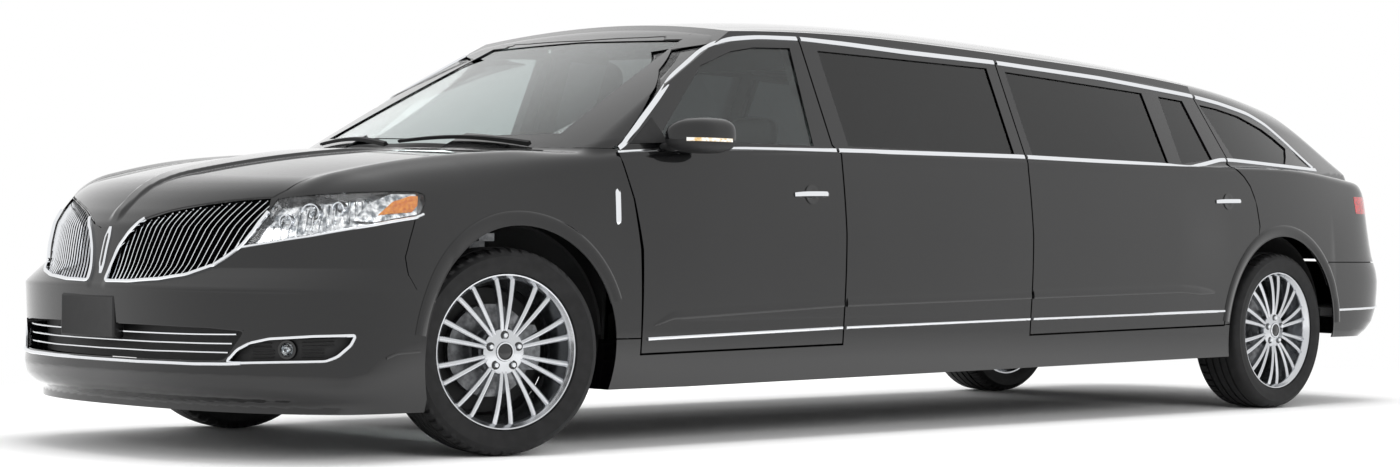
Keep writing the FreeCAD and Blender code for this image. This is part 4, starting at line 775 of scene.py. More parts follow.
panel("fender_skin_left", PAINT, "chassis", mesh, twin="chassis")
BUMPER_EDGE = arc(0, AXLE_HEIGHT, ARCH_RADIUS, 200, 156.5, 12)
BUMPER_EDGE += [(-0.434, 0, 0.562), (-0.489, 0, 0.592), (-0.517, 0, 0.640), (-0.523, 0, 0.701), (-0.498, 0, 0.761),
                (-0.461, 0, 0.834), (-0.46, 0, 0.88), (-0.62, 0, 0.89), (-0.8, 0, 0.89), (-1.3, 0, 0.90),
                (-1.3, 0, 0.17), (-0.42, 0, 0.17)]
mesh = boolean(slab("front", NOSE_LOW, (FRONT - 0.30, 0.001, 0.95), OUTER, INNER - 0.004),
               [inside((from_axle(BUMPER_EDGE), LEFTWARD, -0.1, 1.2))]
               + without(HOOD_GAP_TOOL, WING_TOOL, LAMP_TOOL, LOWER_TOOL, FOG_TOOL))
front_bumper_skin = panel("front_bumper_skin", PAINT, "chassis", mesh, whole=True)
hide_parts("front_bumper")
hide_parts("front_fenders")

# %% [markdown]
# The roof skin, the black cowl below the windscreen, the tailgate and the rear bumper close the shell.  The
# tailgate opens, so it also gets an inner lining, a second slab further in with the same outline and window.

# %% Roof, cowl, tailgate and rear bumper
low, high = box_of("roof_panel")
mesh = boolean(slab("side", low, high, OUTER, INNER),
               [("INTERSECT", traced_prism("roof_panel", (0, 0, 1), 1.0, 1.9, band=0.012, half=False))])
panel("roof_skin", PAINT, "chassis", mesh, whole=True)
COWL_EDGE = [(0.119, 0, 0), (0.159, -0.40, 0), (0.294, -0.728, 0), (0.372, -0.738, 0), (0.250, -0.50, 0),
             (0.200, -0.29, 0), (0.178, 0, 0)]
mesh = boolean(slab("front", (FRONT + 0.05, -0.80, 0.95), (FRONT + 0.45, 0.001, 1.2), -0.004, -0.012),
               [inside((both_halves(from_axle(COWL_EDGE)), UPWARD, 0.9, 1.4))])
panel("cowl_cover", GRAINED_PLASTIC, "chassis", mesh, whole=True)


def from_rear_axle(corners):
    return [(REAR + x, y, z) for x, y, z in corners]


GATE_PLAN = [(0.300, 0, 0), (0.300, -0.560, 0), (0.388, -0.560, 0), (0.700, -0.640, 0), (0.960, -0.720, 0),
             (1.40, -0.720, 0), (1.40, 0, 0)]
GATE_TOOL = (both_halves(from_rear_axle(GATE_PLAN)), (0, 0, 1), 0.702, 1.70)
slope = math.atan2(HATCH[1][1] - HATCH[0][1], HATCH[0][0] - HATCH[1][0])
square = Vector((math.sin(slope), 0, math.cos(slope)))
GATE_TOP = [(0.413, 0, 1.49), (0.406, -0.30, 1.49), (0.388, -0.56, 1.49), (0.380, -0.64, 1.49), (0.37, -0.76, 1.49),
            (2.2, -0.76, 1.30), (2.2, 0, 1.30)]
GATE_BACK_TOOL = (both_halves(from_rear_axle(GATE_TOP)), square, 1.0, 3.6)
GATE_ZONE = boolean(drawn_prism(*GATE_TOOL), [inside(GATE_BACK_TOOL)])
GAP = 0.004
wide_plan = [(x - (GAP if y else 0), y - (GAP if y else 0), z) for x, y, z in GATE_PLAN]
wide_top = [(x - GAP if x < 1 else x, y, z) for x, y, z in GATE_TOP]
WIDE_GATE_ZONE = boolean(drawn_prism(both_halves(from_rear_axle(wide_plan)), (0, 0, 1), 0.697, 1.70),
                         [inside((both_halves(from_rear_axle(wide_top)), square, 1.0, 3.6))])
TAIL_LAMP_EDGE = [(1.0, 0, 0.928), (1.0, -0.72, 0.922), (1.0, -0.98, 0.934), (1.0, -0.98, 1.012), (1.0, -0.72, 1.018),
                  (1.0, 0, 1.014)]
TAIL_LAMP_TOOL = (both_halves(from_rear_axle(TAIL_LAMP_EDGE)), (1, 0, 0), REAR + 0.700, REAR + 1.4)
ROOF_ABOVE = [(-4.0, 0, 0), (-4.0, -0.562, 0), (0.50, -0.562, 0), (0.50, 0, 0)]
QUARTER_EDGE = [(-0.4817, 0, 0.404), (-0.4648, 0, 0.5), (-0.4232, 0, 0.6), (-0.3524, 0, 0.7), (-0.285, 0, 0.755),
                (-0.2188, 0, 0.8), (-0.1999, 0, 0.86), (-0.2074, 0, 0.9), (-0.2168, 0, 0.95), (-0.2354, 0, 1.0),
                (-0.2634, 0, 1.05), (-0.3052, 0, 1.09), (-0.3367, 0, 1.11), (-0.3701, 0, 1.13), (-0.3891, 0, 1.15),
                (-0.3709, 0, 1.165), (-0.4073, 0, 1.3), (-0.4344, 0, 1.4), (-0.455, 0, 1.48), (-0.455, 0, 1.66),
                (1.4, 0, 1.66), (1.4, 0, 0.695)] + arc(0, AXLE_HEIGHT, ARCH_RADIUS, 47.0, 174.9, 50)
QUARTER_WINDOW = [(-0.316, 0, 1.169), (-0.370, 0, 1.297), (-0.425, 0, 1.424), (-0.278, 0, 1.411),
                  (-0.094, 0, 1.383), (0.095, 0, 1.328), (0.185, 0, 1.288), (0.270, 0, 1.240), (0.225, 0, 1.195),
                  (0.180, 0, 1.161)]
mesh = boolean(slab("back", (REAR - 0.50, -1.0, 0.40), (REAR + 1.2, -0.50, 1.62), OUTER, -0.006),
               [inside((from_rear_axle(QUARTER_EDGE), LEFTWARD, 0.3, 1.2))]
               + without((from_rear_axle(QUARTER_WINDOW), LEFTWARD, 0.3, 1.2))
               + [("DIFFERENCE", WIDE_GATE_ZONE)]
               + without(TAIL_LAMP_TOOL, (both_halves(from_rear_axle(ROOF_ABOVE)), UPWARD, 1.2, 1.9)))
panel("quarter_skin_left", PAINT, "chassis", mesh, twin="chassis")
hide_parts("rear_quarters")
GATE_GLASS_FACING = (0.6, 0, 0.8)
GATE_BOX = ((REAR + 0.28, -0.80, 0.70), (REAR + 1.2, 0.001, 1.55))
glass_hole = traced_prism("liftgate_glass", GATE_GLASS_FACING, 1.0, 4.0, "cabin", -0.004, 0.008, half=False)
outline = [("INTERSECT", GATE_ZONE.copy()), ("DIFFERENCE", glass_hole.copy())]
mesh = boolean(slab("back", *GATE_BOX, OUTER, INNER - 0.003), outline + without(TAIL_LAMP_TOOL))
gate_skin = panel("liftgate_skin", PAINT, "liftgate", mesh, whole=True)
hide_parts("liftgate")
outline = [("INTERSECT", GATE_ZONE.copy()), ("DIFFERENCE", glass_hole)]
mesh = boolean(slab("back", *GATE_BOX, -0.008, -0.034), outline)
panel("liftgate_lining", VINYL, "liftgate", mesh, whole=True)
REAR_BUMPER_EDGE = [(0.30, 0, 0.690), (1.4, 0, 0.690), (1.4, 0, 0.33), (0.30, 0, 0.33)]
rear_arch = drawn_prism(from_rear_axle(arc(0, AXLE_HEIGHT, ARCH_RADIUS, 0, 360, 90)[:-1]), LEFTWARD, 0.3, 1.2)
mesh = boolean(slab("back", (REAR + 0.28, -1.0, 0.31), (REAR + 1.2, 0.001, 0.75), OUTER, INNER - 0.005),
               [inside((from_rear_axle(REAR_BUMPER_EDGE), LEFTWARD, -0.1, 1.2)), ("DIFFERENCE", rear_arch)])
seam_mesh = boolean(slab("back", (REAR + 0.30, -1.0, 0.62), (REAR + 1.0, -0.50, 0.74), -0.010, -0.013),
                    [("DIFFERENCE", rear_arch.copy())])
rear_bumper_skin = panel("rear_bumper_skin", PAINT, "chassis", mesh, whole=True)
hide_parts("rear_bumper")
panel("bumper_seam_backing_left", UNDERCOAT, "chassis", seam_mesh, twin="chassis")

lamp_low, lamp_high = (REAR + 0.66, -1.0, 0.90), (REAR + 1.2, 0.001, 1.04)
fixed_tool = [inside(TAIL_LAMP_TOOL), ("DIFFERENCE", WIDE_GATE_ZONE.copy())]
mesh = boolean(slab("back", lamp_low, lamp_high, OUTER + 0.001, -0.030), fixed_tool)
tail_lamp = panel("tail_lamp_left", RED_LENS, "chassis", mesh, twin="chassis")
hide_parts("tail_lamps")
moving_tool = [inside(TAIL_LAMP_TOOL), ("INTERSECT", GATE_ZONE.copy())]
mesh = boolean(slab("back", lamp_low, lamp_high, OUTER + 0.001, -0.007), moving_tool)
panel("tail_lamp_bar", RED_LENS, "liftgate", mesh, whole=True)

# %% [markdown]
# The panes are slabs of the cabin surface, 4 to 5 mm thick and about 4 mm below the skin, as flush-bonded glass
# with a small step is.  The screen and the tailgate glass cross the middle; the side panes come in pairs.

# %% Glass
PANES = (("front_door_pane_left", "front_door_glass_left", "front_door_left", "front_door_right", TINTED_GLASS),
         ("rear_door_panes_left", "rear_door_glass_left", "rear_door_left", "rear_door_right", PRIVACY_GLASS),
         ("centre_pane_left", "centre_windows", "chassis", "chassis", PRIVACY_GLASS),
         ("quarter_pane_left", "quarter_windows", "chassis", "chassis", PRIVACY_GLASS))
for name, node, left_body, right_body, glass in PANES:
    low, high = box_of(node)
    prism = traced_prism(node, LEFTWARD, -0.2, 1.4, title="cabin", depth=-0.0052, band=0.004)
    mesh = boolean(slab("cabin", low, high, -0.0045, -0.0085), [("INTERSECT", prism)])
    pane = panel(name, glass, left_body, mesh, title="cabin", twin=right_body)
    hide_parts(node)
    if node.endswith("left"):
        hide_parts(node.replace("left", "right"))
WIDE_PANES = (("windscreen_pane", "windshield", (-0.8, 0, 0.6), "chassis", TINTED_GLASS),
              ("liftgate_pane", "liftgate_glass", GATE_GLASS_FACING, "liftgate", PRIVACY_GLASS))
for name, node, axis, rides, glass in WIDE_PANES:
    low, high = box_of(node)
    prism = traced_prism(node, axis, -1.0, 4.0, title="cabin", depth=-0.004, band=0.008, half=False)
    mesh = boolean(slab("cabin", low, high, -0.0035, -0.0085), [("INTERSECT", prism)])
    pane = panel(name, glass, rides, mesh, title="cabin", whole=True)
    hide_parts(node)

# %% [markdown]
# The grille is two wings of thin upright black slats with chrome front edges before a black net, each in a chrome
# frame, with a painted bar between them.  A slat is one short sweep: a narrow ring that is extruded along a few
# points.
# The same sweep makes every frame and trim strip on the car, so it comes first.  Its path points are laid on the
# master surface by walking each one along the field's slope, and they carry the surface's normal, so that a
# strip never twists.

# %% Laying paths on the surface and sweeping along them
def on_surface(field, corners, lift=0.0, steps=8):
    """Moves points along the field's slope until they lie on its surface, then lifts them off it."""
    points = np.array(corners, float)
    for _ in range(steps):
        normals, length = slope_of(field, points)
        points = points - normals * (field(*points.T) / np.maximum(length, 0.3))[:, None]
    normals = slope_of(field, points)[0]
    return points + normals * lift, normals


def resample(corners, count, closed=False):
    """count points at equal steps along a smooth curve through the corners."""
    corners = np.array(corners, float)
    if closed:
        corners = np.vstack([corners, corners[:1]])
    lengths = np.concatenate([[0], np.cumsum(np.linalg.norm(np.diff(corners, axis=0), axis=1))])
    at = np.linspace(0, lengths[-1], count + (1 if closed else 0))[:count]
    return np.stack([np.interp(at, lengths, corners[:, k]) for k in range(3)], 1)


def smoothed(points, rounds, closed=False):
    points = np.array(points, float)
    for _ in range(rounds):
        before, after = np.roll(points, 1, 0), np.roll(points, -1, 0)
        middle = (before + 2 * points + after) / 4
        if not closed:
            middle[0], middle[-1] = points[0], points[-1]
        points = middle
    return points


def sweep(bm, points, normals, profile, closed=False, taper=None):
    """A closed bar along points.  profile holds (across, outwards) pairs in metres."""
    points, normals = np.array(points), np.array(normals)
    if closed:
        along = np.roll(points, -1, 0) - np.roll(points, 1, 0)
    else:
        along = np.gradient(points, axis=0)
    along /= np.linalg.norm(along, axis=1)[:, None]
    across = np.cross(along, normals)
    across /= np.linalg.norm(across, axis=1)[:, None]
    outwards = np.cross(across, along)

    def ring_at(i):
        size = taper[i] if taper is not None else 1.0
        return [Vector(points[i] + across[i] * a * size + outwards[i] * o * size) for a, o in profile]
    ring = [bm.verts.new(p) for p in ring_at(0)]
    first = ring
    edges = [bm.edges.new((ring[k], ring[(k + 1) % len(ring)])) for k in range(len(ring))]
    if not closed:
        bm.faces.new(ring)
    for i in range(1, len(points)):
        made = bmesh.ops.extrude_edge_only(bm, edges=edges)["geom"]
        fresh = {v for v in made if isinstance(v, bmesh.types.BMVert)}
        following = []
        for v in ring:
            following.append(next(e.other_vert(v) for e in v.link_edges if e.other_vert(v) in fresh))
        for v, p in zip(following, ring_at(i)):
            v.co = p
        edges = [bm.edges.get((following[k], following[(k + 1) % len(following)])) for k in range(len(following))]
        ring = following
    if closed:
        start = [bm.edges.get((first[k], first[(k + 1) % len(first)])) for k in range(len(first))]
        bmesh.ops.bridge_loops(bm, edges=edges + start)
    else:
        bm.faces.new(list(reversed(ring)))
    return bm


def bar_profile(width, height, bulge=0.35, sink=0.001):
    """A strip's section: flat below, crowned above."""
    w, h = width / 2, height
    return [(-w, -sink), (w, -sink), (w, h * (1 - bulge)), (w * 0.6, h * 0.95), (0, h), (-w * 0.6, h * 0.95),
            (-w, h * (1 - bulge))]


def box_profile(half_width, low, high, top=None):
    """A section between two heights above the path, rectangular or with another half width at its top."""
    top = half_width if top is None else top
    return [(-half_width, low), (half_width, low), (top, high), (-top, high)]


def ring_profile(across, outwards, count):
    """An elliptical section."""
    turns = np.linspace(0, 2 * math.pi, count + 1)[:-1]
    return [(across * math.cos(t), outwards * math.sin(t)) for t in turns]


def finish_piece(name, bm, rides, *materials, twin=None, smooth=30):
    """Recalculates a mesh's normals, shades it smooth with crisp corners, and rides it on its body."""
    bmesh.ops.remove_doubles(bm, verts=bm.verts, dist=1e-6)
    bmesh.ops.recalc_face_normals(bm, faces=bm.faces)
    mesh = to_mesh(bm, name)
    for polygon in mesh.polygons:
        polygon.use_smooth = True
    mesh.set_sharp_from_angle(angle=math.radians(smooth))
    piece = new_object(name, mesh, *materials)
    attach(piece, rides)
    if twin:
        other = mirrored_mesh(mesh)
        other.set_sharp_from_angle(angle=math.radians(smooth))
        far_side = new_object(name.replace("left", "right") if "left" in name else name + "_right", other, *materials)
        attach(far_side, twin)
    return piece


def swept(name, points, normals, profile, rides, *materials, closed=False, taper=None, twin=None, smooth=30):
    """One piece from one sweep."""
    bm = sweep(bmesh.new(), points, normals, profile, closed, taper)
    return finish_piece(name, bm, rides, *materials, twin=twin, smooth=smooth)


def strip(name, corners, rides, material, width, height, twin=None, field=skin_field, count=60, closed=False,
          soften=3, lift=0.002, taper=None):
    """A trim strip along corners on the surface."""
    path = smoothed(resample(corners, count, closed), soften, closed)
    points, normals = on_surface(field, path, lift)
    bm = bmesh.new()
    sweep(bm, points, normals, bar_profile(width, height), closed, taper)
    return finish_piece(name, bm, rides, material, twin=twin)


def block(name, size, centre, bevel, material):
    """A box with rounded edges, riding on the chassis."""
    bm = bmesh.new()
    bmesh.ops.create_cube(bm, size=1.0)
    bmesh.ops.scale(bm, vec=size, verts=bm.verts)
    bmesh.ops.bevel(bm, geom=bm.edges[:], offset=bevel, segments=3, profile=0.5, affect="EDGES", material=-1)
    bmesh.ops.translate(bm, vec=centre, verts=bm.verts)
    return finish_piece(name, bm, "chassis", material)


print("sweeps ready")

# %% Grille wings: net, slats and frames
WING = from_axle(WING_EDGE)
frame_path = WING[4::-1] + WING[:8:-1]
strip("grille_frame_left", frame_path, "chassis", CHROME, 0.013, 0.010, twin="chassis", count=110, soften=2)
mesh = boolean(slab("front", (FRONT - 1.2, -0.70, 0.55), (FRONT - 0.75, 0.001, 0.93), -0.052, -0.058),
               [inside(WING_TOOL)])
grille_net = panel("grille_net_left", GRAINED_PLASTIC, "chassis", mesh, twin="chassis")
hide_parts("front_grille")
wing_yz = np.array([(y, z) for _, y, z in WING])


def wing_inside(y, z):
    """Whether a point of the front view lies inside the wing's outline."""
    inside, count = False, len(wing_yz)
    for k in range(count):
        (y0, z0), (y1, z1) = wing_yz[k], wing_yz[(k + 1) % count]
        if (z0 > z) != (z1 > z) and y < (y1 - y0) * (z - z0) / (z1 - z0) + y0:
            inside = not inside
    return inside


SLATS, LEAN, FIRST_SLAT, WING_WIDTH = 24, -0.40, 0.056, 0.520
bm, edges_bm = bmesh.new(), bmesh.new()
made_slats = 0
for k in range(SLATS):
    foot = -FIRST_SLAT - (k + 0.5) * (WING_WIDTH / SLATS)
    heights = np.linspace(0.600, 0.905, 62)
    lane = [(foot + LEAN * (z - 0.610) * (0.35 + 0.65 * k / SLATS), z) for z in heights]
    lane = [(y, z) for y, z in lane if wing_inside(y, z)]
    if len(lane) < 4:
        continue
    points = resample([(FRONT - 1.12 + 0.5 * y * y, y, z) for y, z in lane], 12)
    for _ in range(12):
        points[:, 0] += skin_field(*points.T) / np.maximum(-slope_of(skin_field, points)[0][:, 0], 0.3)
    normals = slope_of(skin_field, points)[0]
    sweep(bm, points - normals * 0.006, normals, box_profile(0.0022, -0.034, -0.0032))
    sweep(edges_bm, points - normals * 0.006, normals, box_profile(0.0022, -0.0030, 0.0, 0.0014))
    made_slats += 1
finish_piece("grille_slats_left", bm, "chassis", GLOSS_PLASTIC, twin="chassis")
finish_piece("grille_slat_edges_left", edges_bm, "chassis", CHROME, twin="chassis")
print("slats a side", made_slats)

# %% [markdown]
# A headlamp is a clear moulded lens over a bright reflector bowl, with a projector unit, a second round reflector
# and upright facets inside, and an amber corner at its outer end.  The lens and the bowl are slabs of the master
# surface, about 30 mm apart.  The round units are spun from a profile, facing forwards.

# %% Headlamps
def spun(bm, profile, centre, axis, steps=40):
    """Spins (radius, along) pairs round an axis through centre; the profile closes on itself or on the axis."""
    axis = Vector(axis).normalized()
    side = axis.orthogonal().normalized()
    centre = Vector(centre)
    verts = [bm.verts.new(centre + side * max(r, 0) + axis * a) for r, a in profile]
    edges = [bm.edges.new((verts[k], verts[k + 1])) for k in range(len(verts) - 1)]
    if profile[0][0] > 1e-6 or profile[-1][0] > 1e-6:
        edges.append(bm.edges.new((verts[-1], verts[0])))
    bmesh.ops.spin(bm, geom=verts + edges, cent=centre, axis=axis, angle=2 * math.pi, steps=steps, use_merge=True)
    bmesh.ops.remove_doubles(bm, verts=bm.verts, dist=1e-6)
    return bm


def spun_piece(name, profile, centre, axis, rides, material, steps=40, **finish):
    """One piece from one spun profile."""
    return finish_piece(name, spun(bmesh.new(), profile, centre, axis, steps), rides, material, **finish)


def bead(radius, depth, count):
    """The profile of a domed lens."""
    return [(radius * math.cos(t), depth * math.sin(t)) for t in np.linspace(math.pi / 2, -math.pi / 2, count)]


LAMP_BOX = ((FRONT - 1.0, -0.96, 0.68), (FRONT - 0.36, -0.55, 0.96))
lens_mesh = boolean(slab("front", *LAMP_BOX, 0.0015, -0.0025), [inside(LAMP_TOOL)])
lens = panel("headlamp_lens_left", LENS, "chassis", lens_mesh, twin="chassis")
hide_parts("headlamps")
bowl_mesh = boolean(slab("front", *LAMP_BOX, -0.030, -0.036), [inside(LAMP_TOOL)])
panel("headlamp_bowl_left", REFLECTOR, "chassis", bowl_mesh, twin="chassis")
LAMP = from_axle(LAMP_EDGE)
rim_path = smoothed(resample(LAMP, 120, True), 1, True)
points, normals = on_surface(skin_field, rim_path, 0.0)
swept("headlamp_housing_left", points, normals, box_profile(0.003, -0.058, -0.003), "chassis",
      GLOSS_PLASTIC, twin="chassis", closed=True)


def inside_lamp(x, y, z, depth):
    """A point on the surface near (x, y, z), x from the axle, and the same point depth metres below it."""
    points, normals = on_surface(skin_field, [(FRONT + x, y, z)], -depth)
    return Vector(points[0]), Vector(normals[0])


bm = bmesh.new()
FACING = Vector((-0.93, -0.33, 0.05))
for (x, y, z), radius, depth in (((-0.774, -0.745, 0.853), 0.034, 0.034), ((-0.838, -0.690, 0.826), 0.022, 0.030),
                                 ((-0.700, -0.808, 0.870), 0.020, 0.030)):
    at, _ = inside_lamp(x, y, z, depth)
    spun(bm, [(radius, 0.012), (radius + 0.004, 0.012), (radius + 0.006, -0.012), (radius - 0.004, -0.020),
              (radius * 0.82, -0.004)], at, FACING)
finish_piece("headlamp_bezels_left", bm, "chassis", CHROME, twin="chassis")
bm = bmesh.new()
for (x, y, z), radius, depth in (((-0.774, -0.745, 0.853), 0.028, 0.036), ((-0.838, -0.690, 0.826), 0.017, 0.034),
                                 ((-0.700, -0.808, 0.870), 0.016, 0.034)):
    at, _ = inside_lamp(x, y, z, depth)
    spun(bm, bead(radius, radius * 0.55, 13), at, FACING)
finish_piece("headlamp_projectors_left", bm, "chassis", LENS, twin="chassis")
bm = bmesh.new()
FACETS, FIRST_FACET, FACET_STEP = 16, -0.905, 0.021
for k in range(FACETS):
    x0 = FIRST_FACET + k * FACET_STEP
    y_line = np.interp(x0, [-0.93, -0.80, -0.62, -0.56], [-0.620, -0.745, -0.858, -0.878])
    low_z = np.interp(x0, [-0.93, -0.78, -0.56], [0.742, 0.788, 0.838])
    high_z = np.interp(x0, [-0.93, -0.84, -0.70, -0.56], [0.752, 0.868, 0.898, 0.908])
    facet_line = [(FRONT + x0, y_line, low_z), (FRONT + x0 + 0.006, y_line, high_z)]
    path, normals = on_surface(skin_field, resample(facet_line, 7), -0.026)
    sweep(bm, path, normals, box_profile(0.008, -0.010, 0.004, 0.0015))
finish_piece("headlamp_facets_left", bm, "chassis", REFLECTOR, twin="chassis")
AMBER_EDGE = [(-0.600, -0.889, 0.842), (-0.530, -0.880, 0.888), (-0.454, -0.880, 0.909), (-0.424, -0.884, 0.909),
              (-0.440, -0.901, 0.877), (-0.468, -0.908, 0.854)]
AMBER_TOOL = (from_axle(AMBER_EDGE), LAMP_FACING, 1.9, 3.4)
mesh = boolean(slab("front", *LAMP_BOX, -0.005, -0.022), [inside(AMBER_TOOL)])
panel("side_marker_left", AMBER, "chassis", mesh, twin="chassis")
WEDGE_EDGE = [(-0.690, -0.862, 0.822), (-0.600, -0.840, 0.880), (-0.530, -0.868, 0.914), (-0.430, -0.878, 0.916),
              (-0.445, -0.905, 0.846), (-0.620, -0.893, 0.818)]
WEDGE_TOOL = (from_axle(WEDGE_EDGE), LAMP_FACING, 1.9, 3.4)
mesh = boolean(slab("front", *LAMP_BOX, -0.008, -0.020), [inside(WEDGE_TOOL)] + without(AMBER_TOOL))
panel("headlamp_wing_left", REFLECTOR, "chassis", mesh, twin="chassis")
under = from_axle([(-0.937, -0.590, 0.726), (-0.884, -0.667, 0.742), (-0.785, -0.779, 0.768), (-0.624, -0.892, 0.806),
                   (-0.458, -0.914, 0.833), (-0.425, -0.915, 0.846)])
strip("headlamp_chrome_left", under, "chassis", CHROME, 0.010, 0.008, twin="chassis", count=60, soften=1)
print("headlamps done")

# %% [markdown]
# Below the crease the bumper has a wide lower grille with three chrome bars, two recesses with round fog lamps, and
# a chrome line that runs round them.  The number plate holder is a plain black block with a blank inset.

# %% Lower grille, fog lamps and number plate holder
FOG_BOX = ((FRONT - 1.1, -0.96, 0.30), (FRONT - 0.60, -0.55, 0.47))
mesh = boolean(slab("front", *FOG_BOX, -0.030, -0.036), [inside(FOG_TOOL)])
recess = panel("fog_lamp_recess_left", GRAINED_PLASTIC, "chassis", mesh, twin="chassis")
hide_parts("fog_lamps")
fog_path = smoothed(resample(from_axle(FOG_EDGE), 130, True), 2, True)
points, normals = on_surface(skin_field, fog_path, 0.0)
swept("fog_lamp_walls_left", points, normals, box_profile(0.004, -0.036, -0.003), "chassis",
      GLOSS_PLASTIC, twin="chassis", closed=True)
strip("fog_lamp_chrome_left", from_axle(FOG_EDGE), "chassis", CHROME, 0.010, 0.007, twin="chassis", count=150,
      closed=True, soften=2, lift=0.001)
at, _ = inside_lamp(-0.898, -0.787, 0.389, 0.024)
FOG_AXIS = Vector((-0.85, -0.52, 0))
BEZEL = [(0.024, 0.006), (0.032, 0.006), (0.034, -0.006), (0.020, -0.010)]
BOWL = [(0.0, -0.006), (0.012, -0.004), (0.021, 0.003), (0.0225, 0.0015), (0.013, -0.006), (0.0, -0.008)]
for part, profile, material in (("bezel", BEZEL, GLOSS_PLASTIC), ("bowl", BOWL, REFLECTOR),
                                ("lens", bead(0.023, 0.011, 11), LENS)):
    spun_piece(f"fog_lamp_{part}_left", profile, at, FOG_AXIS, "chassis", material, twin="chassis")
bm = bmesh.new()
for k in range(7):
    z = 0.362 + 0.011 * k
    ends = [(-0.975, -0.690, z), (-0.860, -0.820, z + 0.004), (-0.770, -0.885, z + 0.008)]
    if k < 3:
        ends[-1] = (-0.800, -0.868, z + 0.006)
    path, normals = on_surface(skin_field, smoothed(resample(from_axle(ends), 14), 2), -0.026)
    keep = [i for i, p in enumerate(path) if (Vector(p) - at).length > 0.045]
    for run in ([i for i in keep if path[i][0] < at.x], [i for i in keep if path[i][0] >= at.x]):
        if len(run) > 2:
            sweep(bm, path[run], normals[run], box_profile(0.002, -0.006, 0.004, 0.001))
finish_piece("fog_lamp_louvres_left", bm, "chassis", GRAINED_PLASTIC, twin="chassis")
mesh = boolean(slab("front", (FRONT - 1.2, -0.74, 0.28), (FRONT - 0.85, 0.001, 0.52), -0.070, -0.076),
               [inside(LOWER_TOOL)])
panel("lower_grille_net", GRAINED_PLASTIC, "chassis", mesh, whole=True)
points, normals = on_surface(skin_field, smoothed(resample(from_axle(LOWER_EDGE), 90), 2), 0.0)
swept("lower_grille_walls_left", points, normals, box_profile(0.003, -0.074, -0.002), "chassis",
      GLOSS_PLASTIC, twin="chassis")
for k, (z0, z1, reach) in enumerate(((0.432, 0.436, 0.640), (0.402, 0.405, 0.622), (0.372, 0.374, 0.606))):
    ends = [(-1.12, 0, z0), (-1.10, -0.30, z0), (-1.04, -0.50, (z0 + z1) / 2), (-1.00, -reach, z1)]
    path, normals = on_surface(skin_field, smoothed(resample(from_axle(ends), 40), 2), -0.016)
    swept(f"lower_grille_bar_{k}_left", path, normals, bar_profile(0.007, 0.006, sink=0.004), "chassis",
          CHROME, twin="chassis")
lip_line = [(-1.122, 0, 0.333), (-1.112, -0.25, 0.333), (-1.062, -0.50, 0.334), (-1.016, -0.612, 0.337),
            (-0.985, -0.662, 0.340)]
strip("lower_grille_chrome_left", from_axle(lip_line), "chassis", CHROME, 0.012, 0.008, twin="chassis", count=60)
bm = bmesh.new()
bmesh.ops.create_cube(bm, size=1.0)
bmesh.ops.scale(bm, vec=(0.046, 0.330, 0.150), verts=bm.verts)
bmesh.ops.translate(bm, vec=(FRONT - 1.1065, 0.055, 0.481), verts=bm.verts)
bmesh.ops.bevel(bm, geom=bm.edges[:], offset=0.008, segments=3, affect="EDGES", profile=0.5, material=-1)
front_face = min(bm.faces, key=lambda f: f.calc_center_median().x)
bmesh.ops.inset_individual(bm, faces=[front_face], thickness=0.010, depth=-0.002)
finish_piece("number_plate_holder", bm, "chassis", GRAINED_PLASTIC)
NOSE_BAR_TAPER = np.concatenate([np.linspace(0.45, 1, 6), np.ones(12), np.linspace(1, 0.45, 6)])
strip("nose_bar_panel", from_axle([(-1.066, 0, 0.790), (-1.083, 0, 0.74), (-1.098, 0, 0.68), (-1.110, 0, 0.628)]),
      "chassis", CHROME, 0.034, 0.007, count=24, soften=1, taper=NOSE_BAR_TAPER)
strip("nose_bar_inlay", from_axle([(-1.068, 0, 0.782), (-1.083, 0, 0.74), (-1.098, 0, 0.68), (-1.108, 0, 0.636)]),
      "chassis", GLOSS_PLASTIC, 0.020, 0.008, count=24, soften=1, taper=NOSE_BAR_TAPER)
print("lower front done")

# %% [markdown]
# Bright trim runs along the foot of the windows, over their tops and low along the doors.  On the real car each
# door carries its own length of it, so every run is cut at the shut lines and each piece rides on its own body.

# %% Window and side trim
def side_points(field, corners):
    """Each corner's x and z, with the y at which the left side's surface passes through them."""
    points = np.array(corners, float)
    outside, inside = np.full(len(points), -1.05), np.full(len(points), -0.25)
    for _ in range(30):
        middle = (outside + inside) / 2
        clear = field(points[:, 0], middle, points[:, 2]) > 0
        outside, inside = np.where(clear, middle, outside), np.where(clear, inside, middle)
    points[:, 1] = inside
    return points


def cut_run(corners, start, end, count):
    """The part of a run (x from the axle, y, z) between two x, resampled."""
    dense = resample(corners, 1200)
    part = dense[(dense[:, 0] >= start) & (dense[:, 0] <= end)]
    return resample(part, count)


BELT_LINE = [(0.478, 1.083), (0.603, 1.092), (1.115, 1.117), (1.706, 1.127), (2.802, 1.135), (3.848, 1.127),
             (4.058, 1.122), (4.195, 1.142), (4.329, 1.164), (4.443, 1.164), (4.819, 1.152), (5.290, 1.140)]
TOP_LINE = [(0.500, 1.096), (0.646, 1.210), (0.876, 1.379), (1.085, 1.497), (1.150, 1.526), (1.233, 1.548),
            (1.397, 1.565), (1.634, 1.572), (1.903, 1.566), (2.262, 1.553), (2.837, 1.541), (3.602, 1.509),
            (4.288, 1.462), (4.529, 1.436), (4.782, 1.396), (4.928, 1.349), (5.070, 1.268), (5.200, 1.180),
            (5.260, 1.146)]
LOW_LINE = [(0.600, 0.404), (1.662, 0.430), (2.849, 0.449), (4.290, 0.467)]
LEFT_RIGHT = {"front_door": ("front_door_left", "front_door_right"), "rear_door": ("rear_door_left", "rear_door_right"),
              "centre": ("chassis", "chassis"), "quarter": ("chassis", "chassis")}
